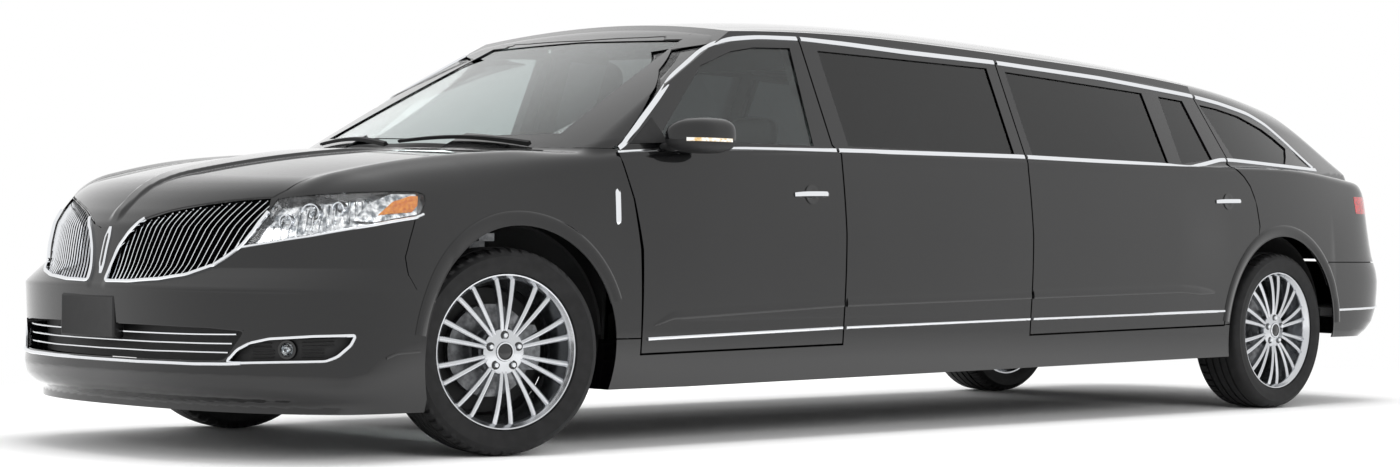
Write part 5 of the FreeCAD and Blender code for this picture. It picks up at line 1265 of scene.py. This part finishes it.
RUNS = (("belt", BELT_LINE, cabin, 0.018, 0.007, (("front_door", 0.500, 1.655), ("centre", 1.664, 2.846),
                                                    ("rear_door", 2.862, 4.372), ("quarter", 4.384, 5.285))),
        ("window_top", TOP_LINE, cabin, 0.021, 0.008, (("front_door", 0.505, 1.6180), ("centre", 1.636, 2.846),
                                                         ("rear_door", 2.862, 4.310), ("quarter", 4.326, 5.255))),
        ("door_foot", LOW_LINE, skin_field, 0.012, 0.009, (("front_door", 0.600, 1.664), ("centre", 1.682, 2.846),
                                                             ("rear_door", 2.862, 4.280))))
for title, line, field, width, height, parts in RUNS:
    corners = side_points(field, smoothed(resample([(FRONT + x, 0, z) for x, z in line], 900), 60))
    for part, start, end in parts:
        left_body, right_body = LEFT_RIGHT[part]
        path = cut_run(corners, FRONT + start, FRONT + end, max(int((end - start) * 45), 20))
        strip(f"{title}_trim_{part}_left", path, left_body, CHROME, width, height, twin=right_body, field=field,
              count=len(path), soften=0, lift=0.001)
back_line = [(REAR + 0.470, -0.95, 0.462), (REAR + 0.75, -0.95, 0.466), (REAR + 1.0, -0.90, 0.470),
             (REAR + 1.14, -0.70, 0.474), (REAR + 1.15, -0.30, 0.476), (REAR + 1.15, 0, 0.476)]
strip("rear_bumper_trim_left", back_line, "chassis", CHROME, 0.010, 0.006, twin="chassis", count=80)
nose_line = [(FRONT - 0.606, -0.951, 0.360), (FRONT - 0.567, -0.956, 0.376), (FRONT - 0.470, -0.962, 0.381)]
strip("bumper_corner_trim_left", nose_line, "chassis", GLOSS_PLASTIC, 0.008, 0.004, twin="chassis", count=16)
print("trim done")

# %% [markdown]
# Two features of the pressed panels are sharp enough to need their own meshes: the blade along the foot of the
# doors and the rolled lips round the wheel openings.  Both are swept along the skin and sink into it.

# %% Door blades and arch lips
BLADE_LINE = [(0.627, 0.455), (0.729, 0.492), (1.652, 0.531), (2.847, 0.554), (3.935, 0.573), (4.205, 0.556)]
BLADE = [(0.020, 0.0015), (0.0195, 0.0075), (0.014, 0.0088), (0.004, 0.0080), (-0.006, 0.0062), (-0.014, 0.0035),
         (-0.020, 0.0005), (-0.020, -0.003), (0.020, -0.003)]
run = side_points(skin_field, smoothed(resample([(FRONT + x, 0, z) for x, z in BLADE_LINE], 900), 30))
for part, start, end in (("front_door", 0.632, 1.664), ("centre", 1.682, 2.846), ("rear_door", 2.862, 4.200)):
    left_body, right_body = LEFT_RIGHT[part]
    path = cut_run(run, FRONT + start, FRONT + end, 70)
    normals = slope_of(skin_field, path)[0]
    ahead = path[:, 0] - FRONT
    at_front, at_back = np.clip((ahead - 0.615) / 0.16, 0.01, 1), np.clip((4.215 - ahead) / 0.14, 0.01, 1)
    swell = np.clip(np.sqrt(at_front) * np.sqrt(at_back), 0.1, 1)
    swept(f"door_blade_{part}_left", path, normals, BLADE, left_body, PAINT, twin=right_body, smooth=50, taper=swell)
LIP = [(-0.024, -0.003), (0.030, -0.003), (0.030, 0.0002), (0.020, 0.0030), (0.004, 0.0078), (-0.012, 0.0090),
       (-0.021, 0.0074), (-0.024, 0.0030)]
LIP_RADIUS, SHUT_LINE = 0.4745, 0.560
for end, centre_x, first, last in (("front", FRONT, 172, 22), ("rear", REAR, 174, 4)):
    turns = np.radians(np.linspace(first, last, 120))
    path = side_points(skin_field, [(centre_x + LIP_RADIUS * math.cos(t), 0, AXLE_HEIGHT + LIP_RADIUS * math.sin(t))
                                    for t in turns])
    if end == "front":
        path = path[path[:, 0] - FRONT < SHUT_LINE]
    swept(f"arch_lip_{end}_left", path, slope_of(skin_field, path)[0], LIP, "chassis", PAINT, twin="chassis", smooth=50)
print("blades and lips done")

# %% [markdown]
# Each wiper is an arm with a rubber blade that lies just above the foot of the windscreen.  A slim plain bar of
# chrome fills the small decorative panel behind the front wheel.

# %% Wipers and side accent
def screen_points(pairs):
    """Points on the windscreen at these (y, z)."""
    pairs = np.array(pairs, float)
    outside, inside = np.full(len(pairs), FRONT - 0.5), np.full(len(pairs), FRONT + 1.4)
    for _ in range(30):
        middle = (outside + inside) / 2
        clear = cabin(middle, pairs[:, 0], pairs[:, 1]) > 0
        outside, inside = np.where(clear, middle, outside), np.where(clear, inside, middle)
    return np.stack([inside, pairs[:, 0], pairs[:, 1]], 1)


for name, first, last in (("driver", -0.66, -0.06), ("passenger", -0.02, 0.56)):
    y_line = np.linspace(first, last, 24)
    z_line = 1.098 + 0.030 * np.sin(np.linspace(0.1, 2.6, 24))
    path = screen_points(np.stack([y_line, z_line], 1))
    normals = slope_of(cabin, path)[0]
    bm = bmesh.new()
    sweep(bm, path + normals * 0.015, normals, box_profile(0.006, -0.003, 0.006, 0.004),
          taper=np.linspace(1.7, 0.9, 24))
    sweep(bm, path[4:] + normals[4:] * 0.007 + np.array([0, 0, 0.008]), normals[4:],
          box_profile(0.004, -0.006, 0.004, 0.003))
    finish_piece(f"wiper_{name}", bm, "chassis", RUBBER)
accent_line = [(FRONT + 0.455, -0.95, 0.822), (FRONT + 0.463, -0.95, 0.955)]
path, normals = on_surface(skin_field, resample(accent_line, 18), 0.001)
rounded_ends = np.clip(np.sqrt(1 - np.abs(np.linspace(-1, 1, 18))**6) + 0.12, 0.2, 1)
swept("fender_accent_left", path, normals, bar_profile(0.024, 0.006), "chassis", CHROME, twin="chassis", smooth=45,
      taper=rounded_ends)
print("wipers and accent done")

# %% [markdown]
# A door handle is a chrome grip that bridges a dark round finger recess.  The grip is a sweep whose ends dip to
# the door skin; the recess is a shallow dish that is spun and laid on the skin.

# %% Door handles
for part, x, z in (("front_door", 1.479, 0.951), ("rear_door", 4.317, 0.972)):
    left_body, right_body = LEFT_RIGHT[part]
    middle, normals = on_surface(skin_field, [(FRONT + x, -0.96, z)], 0.0)
    at, out = Vector(middle[0]), Vector(normals[0])
    dish = [(0.0, 0.0015), (0.024, 0.0022), (0.035, 0.0040), (0.0375, 0.0035), (0.0375, -0.001), (0.0, -0.001)]
    spun_piece(f"{part}_handle_recess_left", dish, at + out * 0.0020, out, left_body, GLOSS_PLASTIC, 48,
               twin=right_body)
    span = np.linspace(-0.095, 0.095, 27)
    path, normals = on_surface(skin_field, [(FRONT + x + s, -0.96, z + 0.02 * s) for s in span], 0.0)
    rise = 0.026 * (1 - np.abs(span / 0.097)**4) + 0.001
    path = path + normals * rise[:, None]
    grip = [(-0.011, -0.003), (-0.008, -0.008), (0.008, -0.008), (0.011, -0.003), (0.009, 0.004), (0, 0.0065),
            (-0.009, 0.004)]
    swept(f"{part}_handle_grip_left", path, normals, grip, left_body, CHROME, twin=right_body, smooth=50,
          taper=0.72 + 0.28 * np.sqrt(np.maximum(1 - (span / 0.0975)**4, 0)))
print("handles done")

# %% [markdown]
# A door mirror is a pressed shell with a painted cap, a dark lower half, a lamp strip along the seam and a short
# foot on a black sail in the window's front corner.  The shell starts as a subdivided cube whose points are moved
# onto a rounded box, flat at the back where the glass sits.

# %% Door mirrors
low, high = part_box("door_mirror_left")
centre = Vector(((low.x + high.x) / 2, low.y + 0.0805, (low.z + high.z) / 2))
half = Vector((0.112, 0.0795, 0.0680))
centre.z += 0.006


def rounded_box(power, cuts):
    """A subdivided unit cube whose points are moved onto a superellipsoid."""
    bm = bmesh.new()
    bmesh.ops.create_cube(bm, size=2.0)
    bmesh.ops.subdivide_edges(bm, edges=bm.edges[:], cuts=cuts, use_grid_fill=True)
    for v in bm.verts:
        size = sum(abs(c)**power for c in v.co)**(1 / power)
        v.co = Vector(v.co[k] / size for k in range(3))
    return bm


bm = rounded_box(3.2, 14)
for v in bm.verts:
    u = v.co.copy()
    drop = 0.16 * max(0.0, u.y + 0.2)**2
    shrink = 1 - 0.24 * max(0.0, u.y)**1.5 - 0.10 * max(0.0, -u.x)
    v.co = Vector((centre.x + half.x * min(u.x, 0.80) * (1 - 0.12 * max(0, u.y)) - 0.045 * u.y,
                   centre.y + half.y * u.y, centre.z + half.z * (u.z * shrink - drop)))
seam = centre.z - 0.018
bmesh.ops.bisect_plane(bm, geom=bm.verts[:] + bm.edges[:] + bm.faces[:], plane_co=(0, 0, seam), plane_no=(0, 0, 1))
for face in bm.faces:
    mid = face.calc_center_median()
    face.material_index = 1 if mid.z < seam else 0
    if mid.x > centre.x + half.x * 0.5 and face.normal.x > 0.93:
        face.material_index = 2
mirror = finish_piece("mirror_shell_left", bm, "front_door_left", PAINT, GRAINED_PLASTIC, CHROME,
                      twin="front_door_right", smooth=50)
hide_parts("door_mirror_left")
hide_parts("door_mirror_right")


def round_mirror(p):
    """Degrees round the mirror, seen from above, from the outer end towards the back."""
    return math.degrees(math.atan2(p.x - centre.x, centre.y + 0.01 - p.y))


rim = sorted((v.co.copy() for v in mirror.data.vertices if abs(v.co.z - seam) < 1e-4), key=round_mirror)
rim = [tuple(p) for p in rim if -72 < round_mirror(p) < 48]
path = smoothed(resample(rim, 40), 3)
away = path - np.array([centre.x + 0.02, centre.y + 0.03, seam])
away[:, 2] = 0
away /= np.linalg.norm(away, axis=1)[:, None]
LED_STRIP = shader("frosted_indicator_lens", "#e8e6df", 0.25, Coat_Weight=0.5)
mottle(LED_STRIP, "#c9a25a", "#f4f4f1", 14)
swept("mirror_indicator_left", path, away, box_profile(0.0065, -0.004, 0.0012), "front_door_left", LED_STRIP,
      twin="front_door_right")
foot = resample([(FRONT + 0.742, -0.895, 1.118), (FRONT + 0.738, -0.925, 1.112), (FRONT + 0.742, -0.960, 1.120),
                 (FRONT + 0.760, -0.990, 1.136)], 12)
swept("mirror_foot_left", foot, np.tile([0.0, 0.0, 1.0], (12, 1)), ring_profile(0.038, 0.015, 16), "front_door_left",
      GRAINED_PLASTIC, twin="front_door_right", smooth=50)
SAIL_EDGE = [(0.560, 0, 1.122), (0.700, 0, 1.224), (0.740, 0, 1.146), (0.738, 0, 1.130)]
mesh = boolean(slab("cabin", (FRONT + 0.50, -1.0, 1.08), (FRONT + 0.80, -0.6, 1.28), 0.0045, -0.008),
               [inside((from_axle(SAIL_EDGE), LEFTWARD, 0.5, 1.2))])
panel("mirror_sail_left", GRAINED_PLASTIC, "front_door_left", mesh, title="cabin", twin="front_door_right")
print("mirrors done")

# %% [markdown]
# A tyre is spun from its section: bead, sidewall with a raised guard rib, rounded shoulder and a tread with four
# channels.  Then every fourth face along both shoulders is pushed in, which leaves the shoulder blocks that show
# above the sidewall.  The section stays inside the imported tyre, which sets its radius and width.

# %% Tyres
TREAD_STEPS, BLOCK_EVERY, BLOCK_DEPTH = 216, 4, 0.006
SHOULDER_IN, SHOULDER_OUT, SHOULDER_RADIUS = 0.062, 0.118, 0.355
WALL = [(0.2775, 0.088), (0.2775, 0.100), (0.2782, 0.1120), (0.2800, 0.1170), (0.2830, 0.1175), (0.300, 0.1235),
        (0.318, 0.1268), (0.334, 0.1262), (0.3365, 0.1272), (0.339, 0.1262), (0.346, 0.1215), (0.355, 0.1145),
        (0.3605, 0.1060), (0.3640, 0.0950), (0.3664, 0.0760), (0.3668, 0.0630), (0.3600, 0.0615), (0.3600, 0.0535),
        (0.3678, 0.0520), (0.3684, 0.0250), (0.3605, 0.0240), (0.3605, 0.0150), (0.3686, 0.0140)]
LINING = [(0.3435, 0.104), (0.3535, 0.050)]
SECTION = WALL + [(r, -a) for r, a in reversed(WALL)] + [(r, -a) for r, a in LINING] + LINING[::-1]
for corner in ("front_left", "front_right", "rear_left", "rear_right"):
    axis = Vector(joints[f"spin_{corner}"]["axis"]).normalized()
    low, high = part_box(f"tyre_{corner}")
    middle = (low + high) / 2
    middle.z = AXLE_HEIGHT
    bm = bmesh.new()
    spun(bm, SECTION, middle, axis, TREAD_STEPS)
    bm.faces.ensure_lookup_table()
    picked = []
    for face in bm.faces:
        mid = face.calc_center_median() - middle
        along = mid.dot(axis)
        out = mid - axis * along
        if SHOULDER_IN < abs(along) < SHOULDER_OUT and out.length > SHOULDER_RADIUS:
            flat_dir = Vector((axis.y, -axis.x, 0)).normalized()
            turn_angle = math.degrees(math.atan2(out.z, out.dot(flat_dir)))
            if int(round((turn_angle + 360) / (360 / TREAD_STEPS) - 0.5)) % BLOCK_EVERY == 0:
                picked.append(face)
    made = bmesh.ops.extrude_face_region(bm, geom=picked)
    for v in new_verts(made):
        out = v.co - middle
        out -= axis * out.dot(axis)
        v.co -= out.normalized() * BLOCK_DEPTH
    tyre = finish_piece(f"tyre_{corner}_rubber", bm, f"wheel_{corner}", RUBBER, smooth=32)
    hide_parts(f"tyre_{corner}")
print("tyres", len(tyre.data.polygons), "faces each")

# %% [markdown]
# The wheel is a polished alloy casting.  Its barrel is spun from one closed section.  Twenty spokes in ten pairs
# are swept from hub to rim, each with a ridge along its crest, and swell towards the rim.  Five nuts sit in dark
# pockets round a bare cap.  A black pressed sheet behind the brake disc is partly a splash shield and partly painted
# shade: it closes the view through the wheel with black where there is only the underbody's shade.

# %% Wheels
BARREL = [(0.2766, 0.1030), (0.2772, 0.1090), (0.2735, 0.1118), (0.2690, 0.1105), (0.2640, 0.1030), (0.2600, 0.0975),
          (0.2560, 0.0925), (0.2530, 0.0800), (0.2480, 0.0500), (0.2340, 0.0100), (0.2340, -0.0300), (0.2460, -0.0700),
          (0.2600, -0.0900), (0.2660, -0.1040), (0.2700, -0.1110), (0.2772, -0.1110), (0.2772, -0.1030),
          (0.2700, -0.0960), (0.2640, -0.0800), (0.2540, -0.0640), (0.2420, -0.0280), (0.2420, 0.0080),
          (0.2560, 0.0480), (0.2640, 0.0800), (0.2690, 0.0960)]
HUB = [(0.0, 0.0700), (0.0, 0.0960), (0.0440, 0.0960), (0.0470, 0.0940), (0.0740, 0.0925), (0.0800, 0.0880),
       (0.0840, 0.0700), (0.0820, 0.0520), (0.0600, 0.0460), (0.0, 0.0460)]
CAP = [(0.0, 0.1030), (0.0180, 0.1025), (0.0250, 0.1000), (0.0262, 0.0985), (0.0275, 0.0985), (0.0290, 0.1010),
       (0.0330, 0.1010), (0.0350, 0.0985), (0.0355, 0.0940), (0.0, 0.0940)]
SPOKE_PAIRS, NUTS, NUT_CIRCLE = 10, 5, 0.058
SHIELD_AND_SHADE_SHEET = [(0.075, -0.0660), (0.150, -0.0700), (0.222, -0.0700), (0.236, -0.0980), (0.2590, -0.1000),
          (0.2590, -0.1018), (0.2345, -0.0998), (0.2205, -0.0718), (0.150, -0.0718), (0.075, -0.0678)]
SPOKE_RUN = [(0.066, 0.0900), (0.085, 0.0945), (0.110, 0.0985), (0.150, 0.1010), (0.190, 0.1010), (0.225, 0.0985),
             (0.250, 0.0945), (0.263, 0.0915)]
SPOKE_SHAPE = [(-0.0074, -0.024), (0.0074, -0.024), (0.0078, -0.004), (0.0032, 0.0012), (0, 0.0022), (-0.0032, 0.0012),
               (-0.0078, -0.004)]
for corner in ("front_left", "front_right", "rear_left", "rear_right"):
    axis = Vector(joints[f"spin_{corner}"]["axis"]).normalized()
    low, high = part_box(f"tyre_{corner}")
    middle = (low + high) / 2
    middle.z = AXLE_HEIGHT
    out = axis if axis.y * middle.y > 0 else -axis
    up = Vector((0, 0, 1))
    ahead = up.cross(out).normalized()

    def on_wheel(radius, turn, along):
        return middle + out * along + (ahead * math.cos(turn) + up * math.sin(turn)) * radius

    bm = bmesh.new()
    spun(bm, BARREL, middle, out, 120)
    spun(bm, HUB, middle, out, 60)
    for pair in range(SPOKE_PAIRS):
        for way in (-1, 1):
            run = []
            for r, along in SPOKE_RUN:
                share = (r - 0.066) / 0.197
                turn = math.radians(90 + 360 / SPOKE_PAIRS * pair + way * (5.4 + 1.9 * share))
                run.append(tuple(on_wheel(r, turn, along)))
            run = resample(run, 10)
            sweep(bm, run, np.tile(list(out), (10, 1)), SPOKE_SHAPE, taper=np.linspace(0.92, 1.30, 10))
    rim = finish_piece(f"wheel_{corner}_alloy", bm, f"wheel_{corner}", ALLOY, smooth=40)
    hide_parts(f"rim_{corner}")
    bm = bmesh.new()
    spun(bm, CAP, middle, out, 48)
    for face in bm.faces:
        distance = ((face.calc_center_median() - middle) - out * (face.calc_center_median() - middle).dot(out)).length
        face.material_index = 1 if 0.0285 < distance < 0.0345 else 0
    for nut in range(NUTS):
        at = on_wheel(NUT_CIRCLE, math.radians(90 + 360 / NUTS * nut), 0.0)
        spun(bm, [(0.0, 0.0930), (0.0160, 0.0930), (0.0160, 0.0946), (0.0, 0.0946)], at, out, 24)
        before = set(bm.faces)
        spun(bm, [(0.0, 0.0940), (0.0100, 0.0940), (0.0100, 0.1010), (0.0080, 0.1040), (0.0, 0.1046)], at, out, 6)
        for face in set(bm.faces) - before:
            face.material_index = 1
    finish_piece(f"wheel_{corner}_cap_and_nuts", bm, f"wheel_{corner}", GLOSS_PLASTIC, CHROME, smooth=35)
    carrier = "chassis" if "rear" in corner else "knuckle_" + corner.split("_")[1]
    # A splash shield and also a sheet of painted shade, black where the view through the wheel finds only shade.
    spun_piece(f"splash_shield_{corner}", SHIELD_AND_SHADE_SHEET, middle, out, carrier, UNDERCOAT, 60, smooth=40)
print("wheels", len(rim.data.polygons), "faces each")

# %% [markdown]
# The seats are padded leather.  Each cushion is a crowned closed form whose sides pull in between its corners.
# Sewn channels are pressed into it as grooves.

# %% Seats
def cushion(name, low, high, channels=0, along=0, face=2, tilt=0.0, power=5.0, replaces=None,
            groove=0.009):
    """A cushion between two corners: channels sewn across axis `along` into the side that faces axis `face`."""
    low, high = Vector(low), Vector(high)
    centre, half = (low + high) / 2, (high - low) / 2
    cuts = 22 if channels else 16
    bm = rounded_box(power, cuts)
    other = 3 - along - face
    for v in bm.verts:
        u = v.co.copy()
        crown_here = max(0.0, 1 - abs(u[along])**2.4) * max(0.0, 1 - abs(u[other])**2.4)
        u[face] *= 0.88 + 0.12 * crown_here
        pull = 1 - 0.035 * (1 - abs(u[face])**2)
        u[along] *= pull
        u[other] *= pull
        place = Vector(centre[k] + half[k] * u[k] for k in range(3))
        if channels and abs(u[face]) > 0.25:
            wave = (u[along] + 1) / 2 * channels
            dip = math.exp(-((wave - round(wave)) / 0.085)**2) if 0.5 < wave < channels - 0.5 else 0.0
            place[face] -= math.copysign(groove * dip * crown_here**0.3, u[face])
        v.co = place
    if tilt:
        bmesh.ops.rotate(bm, cent=(centre.x, centre.y, low.z), matrix=Matrix.Rotation(tilt, 3, "Y"), verts=bm.verts)
    piece = finish_piece(name, bm, "chassis", LEATHER, smooth=60)
    smoother = piece.modifiers.new("stuffing", "SUBSURF")
    smoother.levels = smoother.render_levels = 1
    if replaces:
        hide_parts(replaces)
    return piece


for side, y in (("left", -0.40), ("right", 0.40)):
    start = FRONT + 1.080
    cushion(f"front_seat_cushion_{side}", (start, y - 0.255, 0.48), (start + 0.50, y + 0.255, 0.63), 5, 1, 2,
            replaces="front_seats" if side == "left" else None)
    cushion(f"front_seat_back_{side}", (start + 0.43, y - 0.245, 0.56), (start + 0.57, y + 0.245, 1.12), 5, 1, 0,
            tilt=0.16)
    cushion(f"front_headrest_{side}", (start + 0.600, y - 0.125, 1.13), (start + 0.690, y + 0.125, 1.272), 0, 1, 0,
            power=3.4)
    for way in (-1, 1):
        where = "in" if way * y < 0 else "out"
        cushion(f"front_seat_bolster_{side}_{where}", (start + 0.02, y + way * 0.215 - 0.042, 0.50),
                (start + 0.47, y + way * 0.215 + 0.042, 0.665), 0, 1, 2, power=3.0)
    bm = bmesh.new()
    for way in (-1, 1):
        post = [(start + 0.622, y + way * 0.06, 1.06), (start + 0.640, y + way * 0.06, 1.16)]
        sweep(bm, resample(post, 4), np.tile([0.0, 1.0, 0.0], (4, 1)), ring_profile(0.006, 0.006, 12))
    finish_piece(f"headrest_posts_{side}", bm, "chassis", CHROME)
    block(f"front_seat_base_{side}", (0.44, 0.42, 0.17), (start + 0.25, y, 0.388), 0.02, GRAINED_PLASTIC)
bench_x = REAR - 0.420
cushion("rear_bench_cushion", (bench_x, -0.515, 0.48), (bench_x + 0.53, 0.515, 0.64), 9, 1, 2, replaces="rear_seats")
cushion("rear_bench_back", (bench_x + 0.46, -0.505, 0.58), (bench_x + 0.60, 0.505, 1.08), 9, 1, 0, tilt=0.14)
for y in (-0.27, 0.27):
    side = "left" if y < 0 else "right"
    cushion(f"rear_headrest_{side}", (bench_x + 0.59, y - 0.13, 1.085), (bench_x + 0.68, y + 0.13, 1.222), 0, 1, 0,
            power=3.4)
cushion("lounge_sofa_cushion", (-0.330, 0.335, 0.47), (1.752, 0.70, 0.63), 15, 0, 2)
cushion("lounge_sofa_back", (-0.330, 0.655, 0.60), (1.752, 0.770, 1.035), 15, 0, 1)
block("lounge_sofa_plinth", (2.06, 0.34, 0.165), (0.711, 0.53, 0.385), 0.012, WALNUT)
print("seats done")

# %% [markdown]
# What the frame carries over keeps its shape and gets the material of the real part.  Doors and pillars are painted
# outside and trimmed inside, so their faces are sorted by which way they point on their own side of the car.

# %% Materials of the carried-over parts
CARRIED = {
    "floor_pan": CARPET, "bulkhead": UNDERCOAT, "front_subframe": CAST, "front_suspension": STEEL,
    "rear_suspension": STEEL, "rear_calipers": CAST, "engine": CAST, "exhaust": STEEL, "fuel_tank": UNDERCOAT,
    "wheel_liners": UNDERCOAT, "bar_console": WALNUT, "dashboard": GRAINED_PLASTIC, "steering_wheel": LEATHER,
    "partition": VINYL, "hinges": STEEL, "rockers": PAINT, "roof_panel": PAINT, "centre_panels": PAINT,
    "side_frames": PAINT}
TRIMMED = ("front_door_left", "front_door_right", "rear_door_left", "rear_door_right", "side_frames",
           "centre_panels", "roof_panel")
for name, piece in frame["nodes"].items():
    piece.data.materials.clear()
    if name in CARRIED:
        finish = CARRIED[name]
    elif name.startswith("knuckle"):
        finish = CAST
    elif name.startswith("brake_disc"):
        finish = IRON
    else:
        finish = PAINT
    piece.data.materials.append(finish)
    if name in TRIMMED:
        piece.data.materials.append(VINYL)
        for polygon in piece.data.polygons:
            place = piece.matrix_world @ polygon.center
            inward = polygon.normal.y * (-1 if place.y > 0 else 1)
            inner = inward > 0.35 if name != "roof_panel" else polygon.normal.z < -0.3
            if inner:
                polygon.material_index = 1
print("carried over", len(frame["nodes"]), "nodes")

# %% [markdown]
# Plain soft studio light: a large softbox overhead, one on each side and a weak one ahead, with a pale world.  The
# world is white to the camera, in reflections and through glass, and a little darker where it lights dull surfaces.
# The floor is a pale surface that keeps the shadow near the car and turns into plain white further out.

# %% World, floor and lamps
world = bpy.data.worlds.new("studio")
scene.world = world
world.use_nodes = True
world.node_tree.nodes.clear()
rays = add_node(world, "ShaderNodeLightPath")
through = add_node(world, "ShaderNodeMath", {"operation": "MAXIMUM"}, _0=rays.outputs["Is Camera Ray"],
                   _1=rays.outputs["Is Transmission Ray"])
seen = add_node(world, "ShaderNodeMath", {"operation": "MAXIMUM"}, _0=through.outputs[0],
                _1=rays.outputs["Is Glossy Ray"])
plain = add_node(world, "ShaderNodeBackground", Color=(1, 1, 1, 1), Strength=0.75)
white = add_node(world, "ShaderNodeBackground", Color=(1, 1, 1, 1), Strength=1.0)
final = add_node(world, "ShaderNodeMixShader", _0=seen.outputs[0], _1=plain.outputs[0], _2=white.outputs[0])
add_node(world, "ShaderNodeOutputWorld", Surface=final.outputs[0])

FLOOR = bpy.data.materials.new("pale_studio_floor")
FLOOR.use_nodes = True
FLOOR.node_tree.nodes.clear()
shade = add_node(FLOOR, "ShaderNodeBsdfDiffuse", Color=linear("#f4f4f4"))
glow = add_node(FLOOR, "ShaderNodeEmission", Color=(1, 1, 1, 1), Strength=1.0)
place = add_node(FLOOR, "ShaderNodeTexCoord")
near = add_node(FLOOR, "ShaderNodeMapping", Vector=place.outputs["Object"])
near.inputs["Scale"].default_value = (1 / 5.2, 1 / 3.2, 1)
distance = add_node(FLOOR, "ShaderNodeVectorMath", {"operation": "LENGTH"}, _0=near.outputs[0])
away = add_node(FLOOR, "ShaderNodeMapRange", Value=distance.outputs["Value"], From_Min=0.75, From_Max=1.25)
pale = add_node(FLOOR, "ShaderNodeMixShader", _0=away.outputs[0], _1=shade.outputs[0], _2=glow.outputs[0])
add_node(FLOOR, "ShaderNodeOutputMaterial", Surface=pale.outputs[0])
bm = bmesh.new()
bmesh.ops.create_grid(bm, x_segments=2, y_segments=2, size=40)
floor = new_object("studio_floor", to_mesh(bm, "studio_floor"), FLOOR)
LAMPS = (("overhead", (0, 0, 5.2), (0, 0, 0), 9.0, 5.0, 420), ("left", (-1.5, -7.5, 3.4), (0, 0, 0.9), 8.0, 2.2, 260),
         ("front", (-9.5, -1.0, 3.0), (-2, 0, 0.8), 4.0, 2.0, 110),
         ("right", (1.5, 7.5, 3.2), (0, 0, 0.9), 8.0, 2.2, 160))  # place, aim, size in metres, watts
for name, place, aim, width, depth, power in LAMPS:
    light = bpy.data.lights.new(name, "AREA")
    light.shape, light.size, light.size_y, light.energy = "RECTANGLE", width, depth, power
    lamp = bpy.data.objects.new(name, light)
    scene.collection.objects.link(lamp)
    lamp.location = place
    lamp.visible_glossy = False
    lamp.rotation_euler = (Vector(aim) - Vector(place)).to_track_quat("-Z", "Y").to_euler()
print("studio ready")
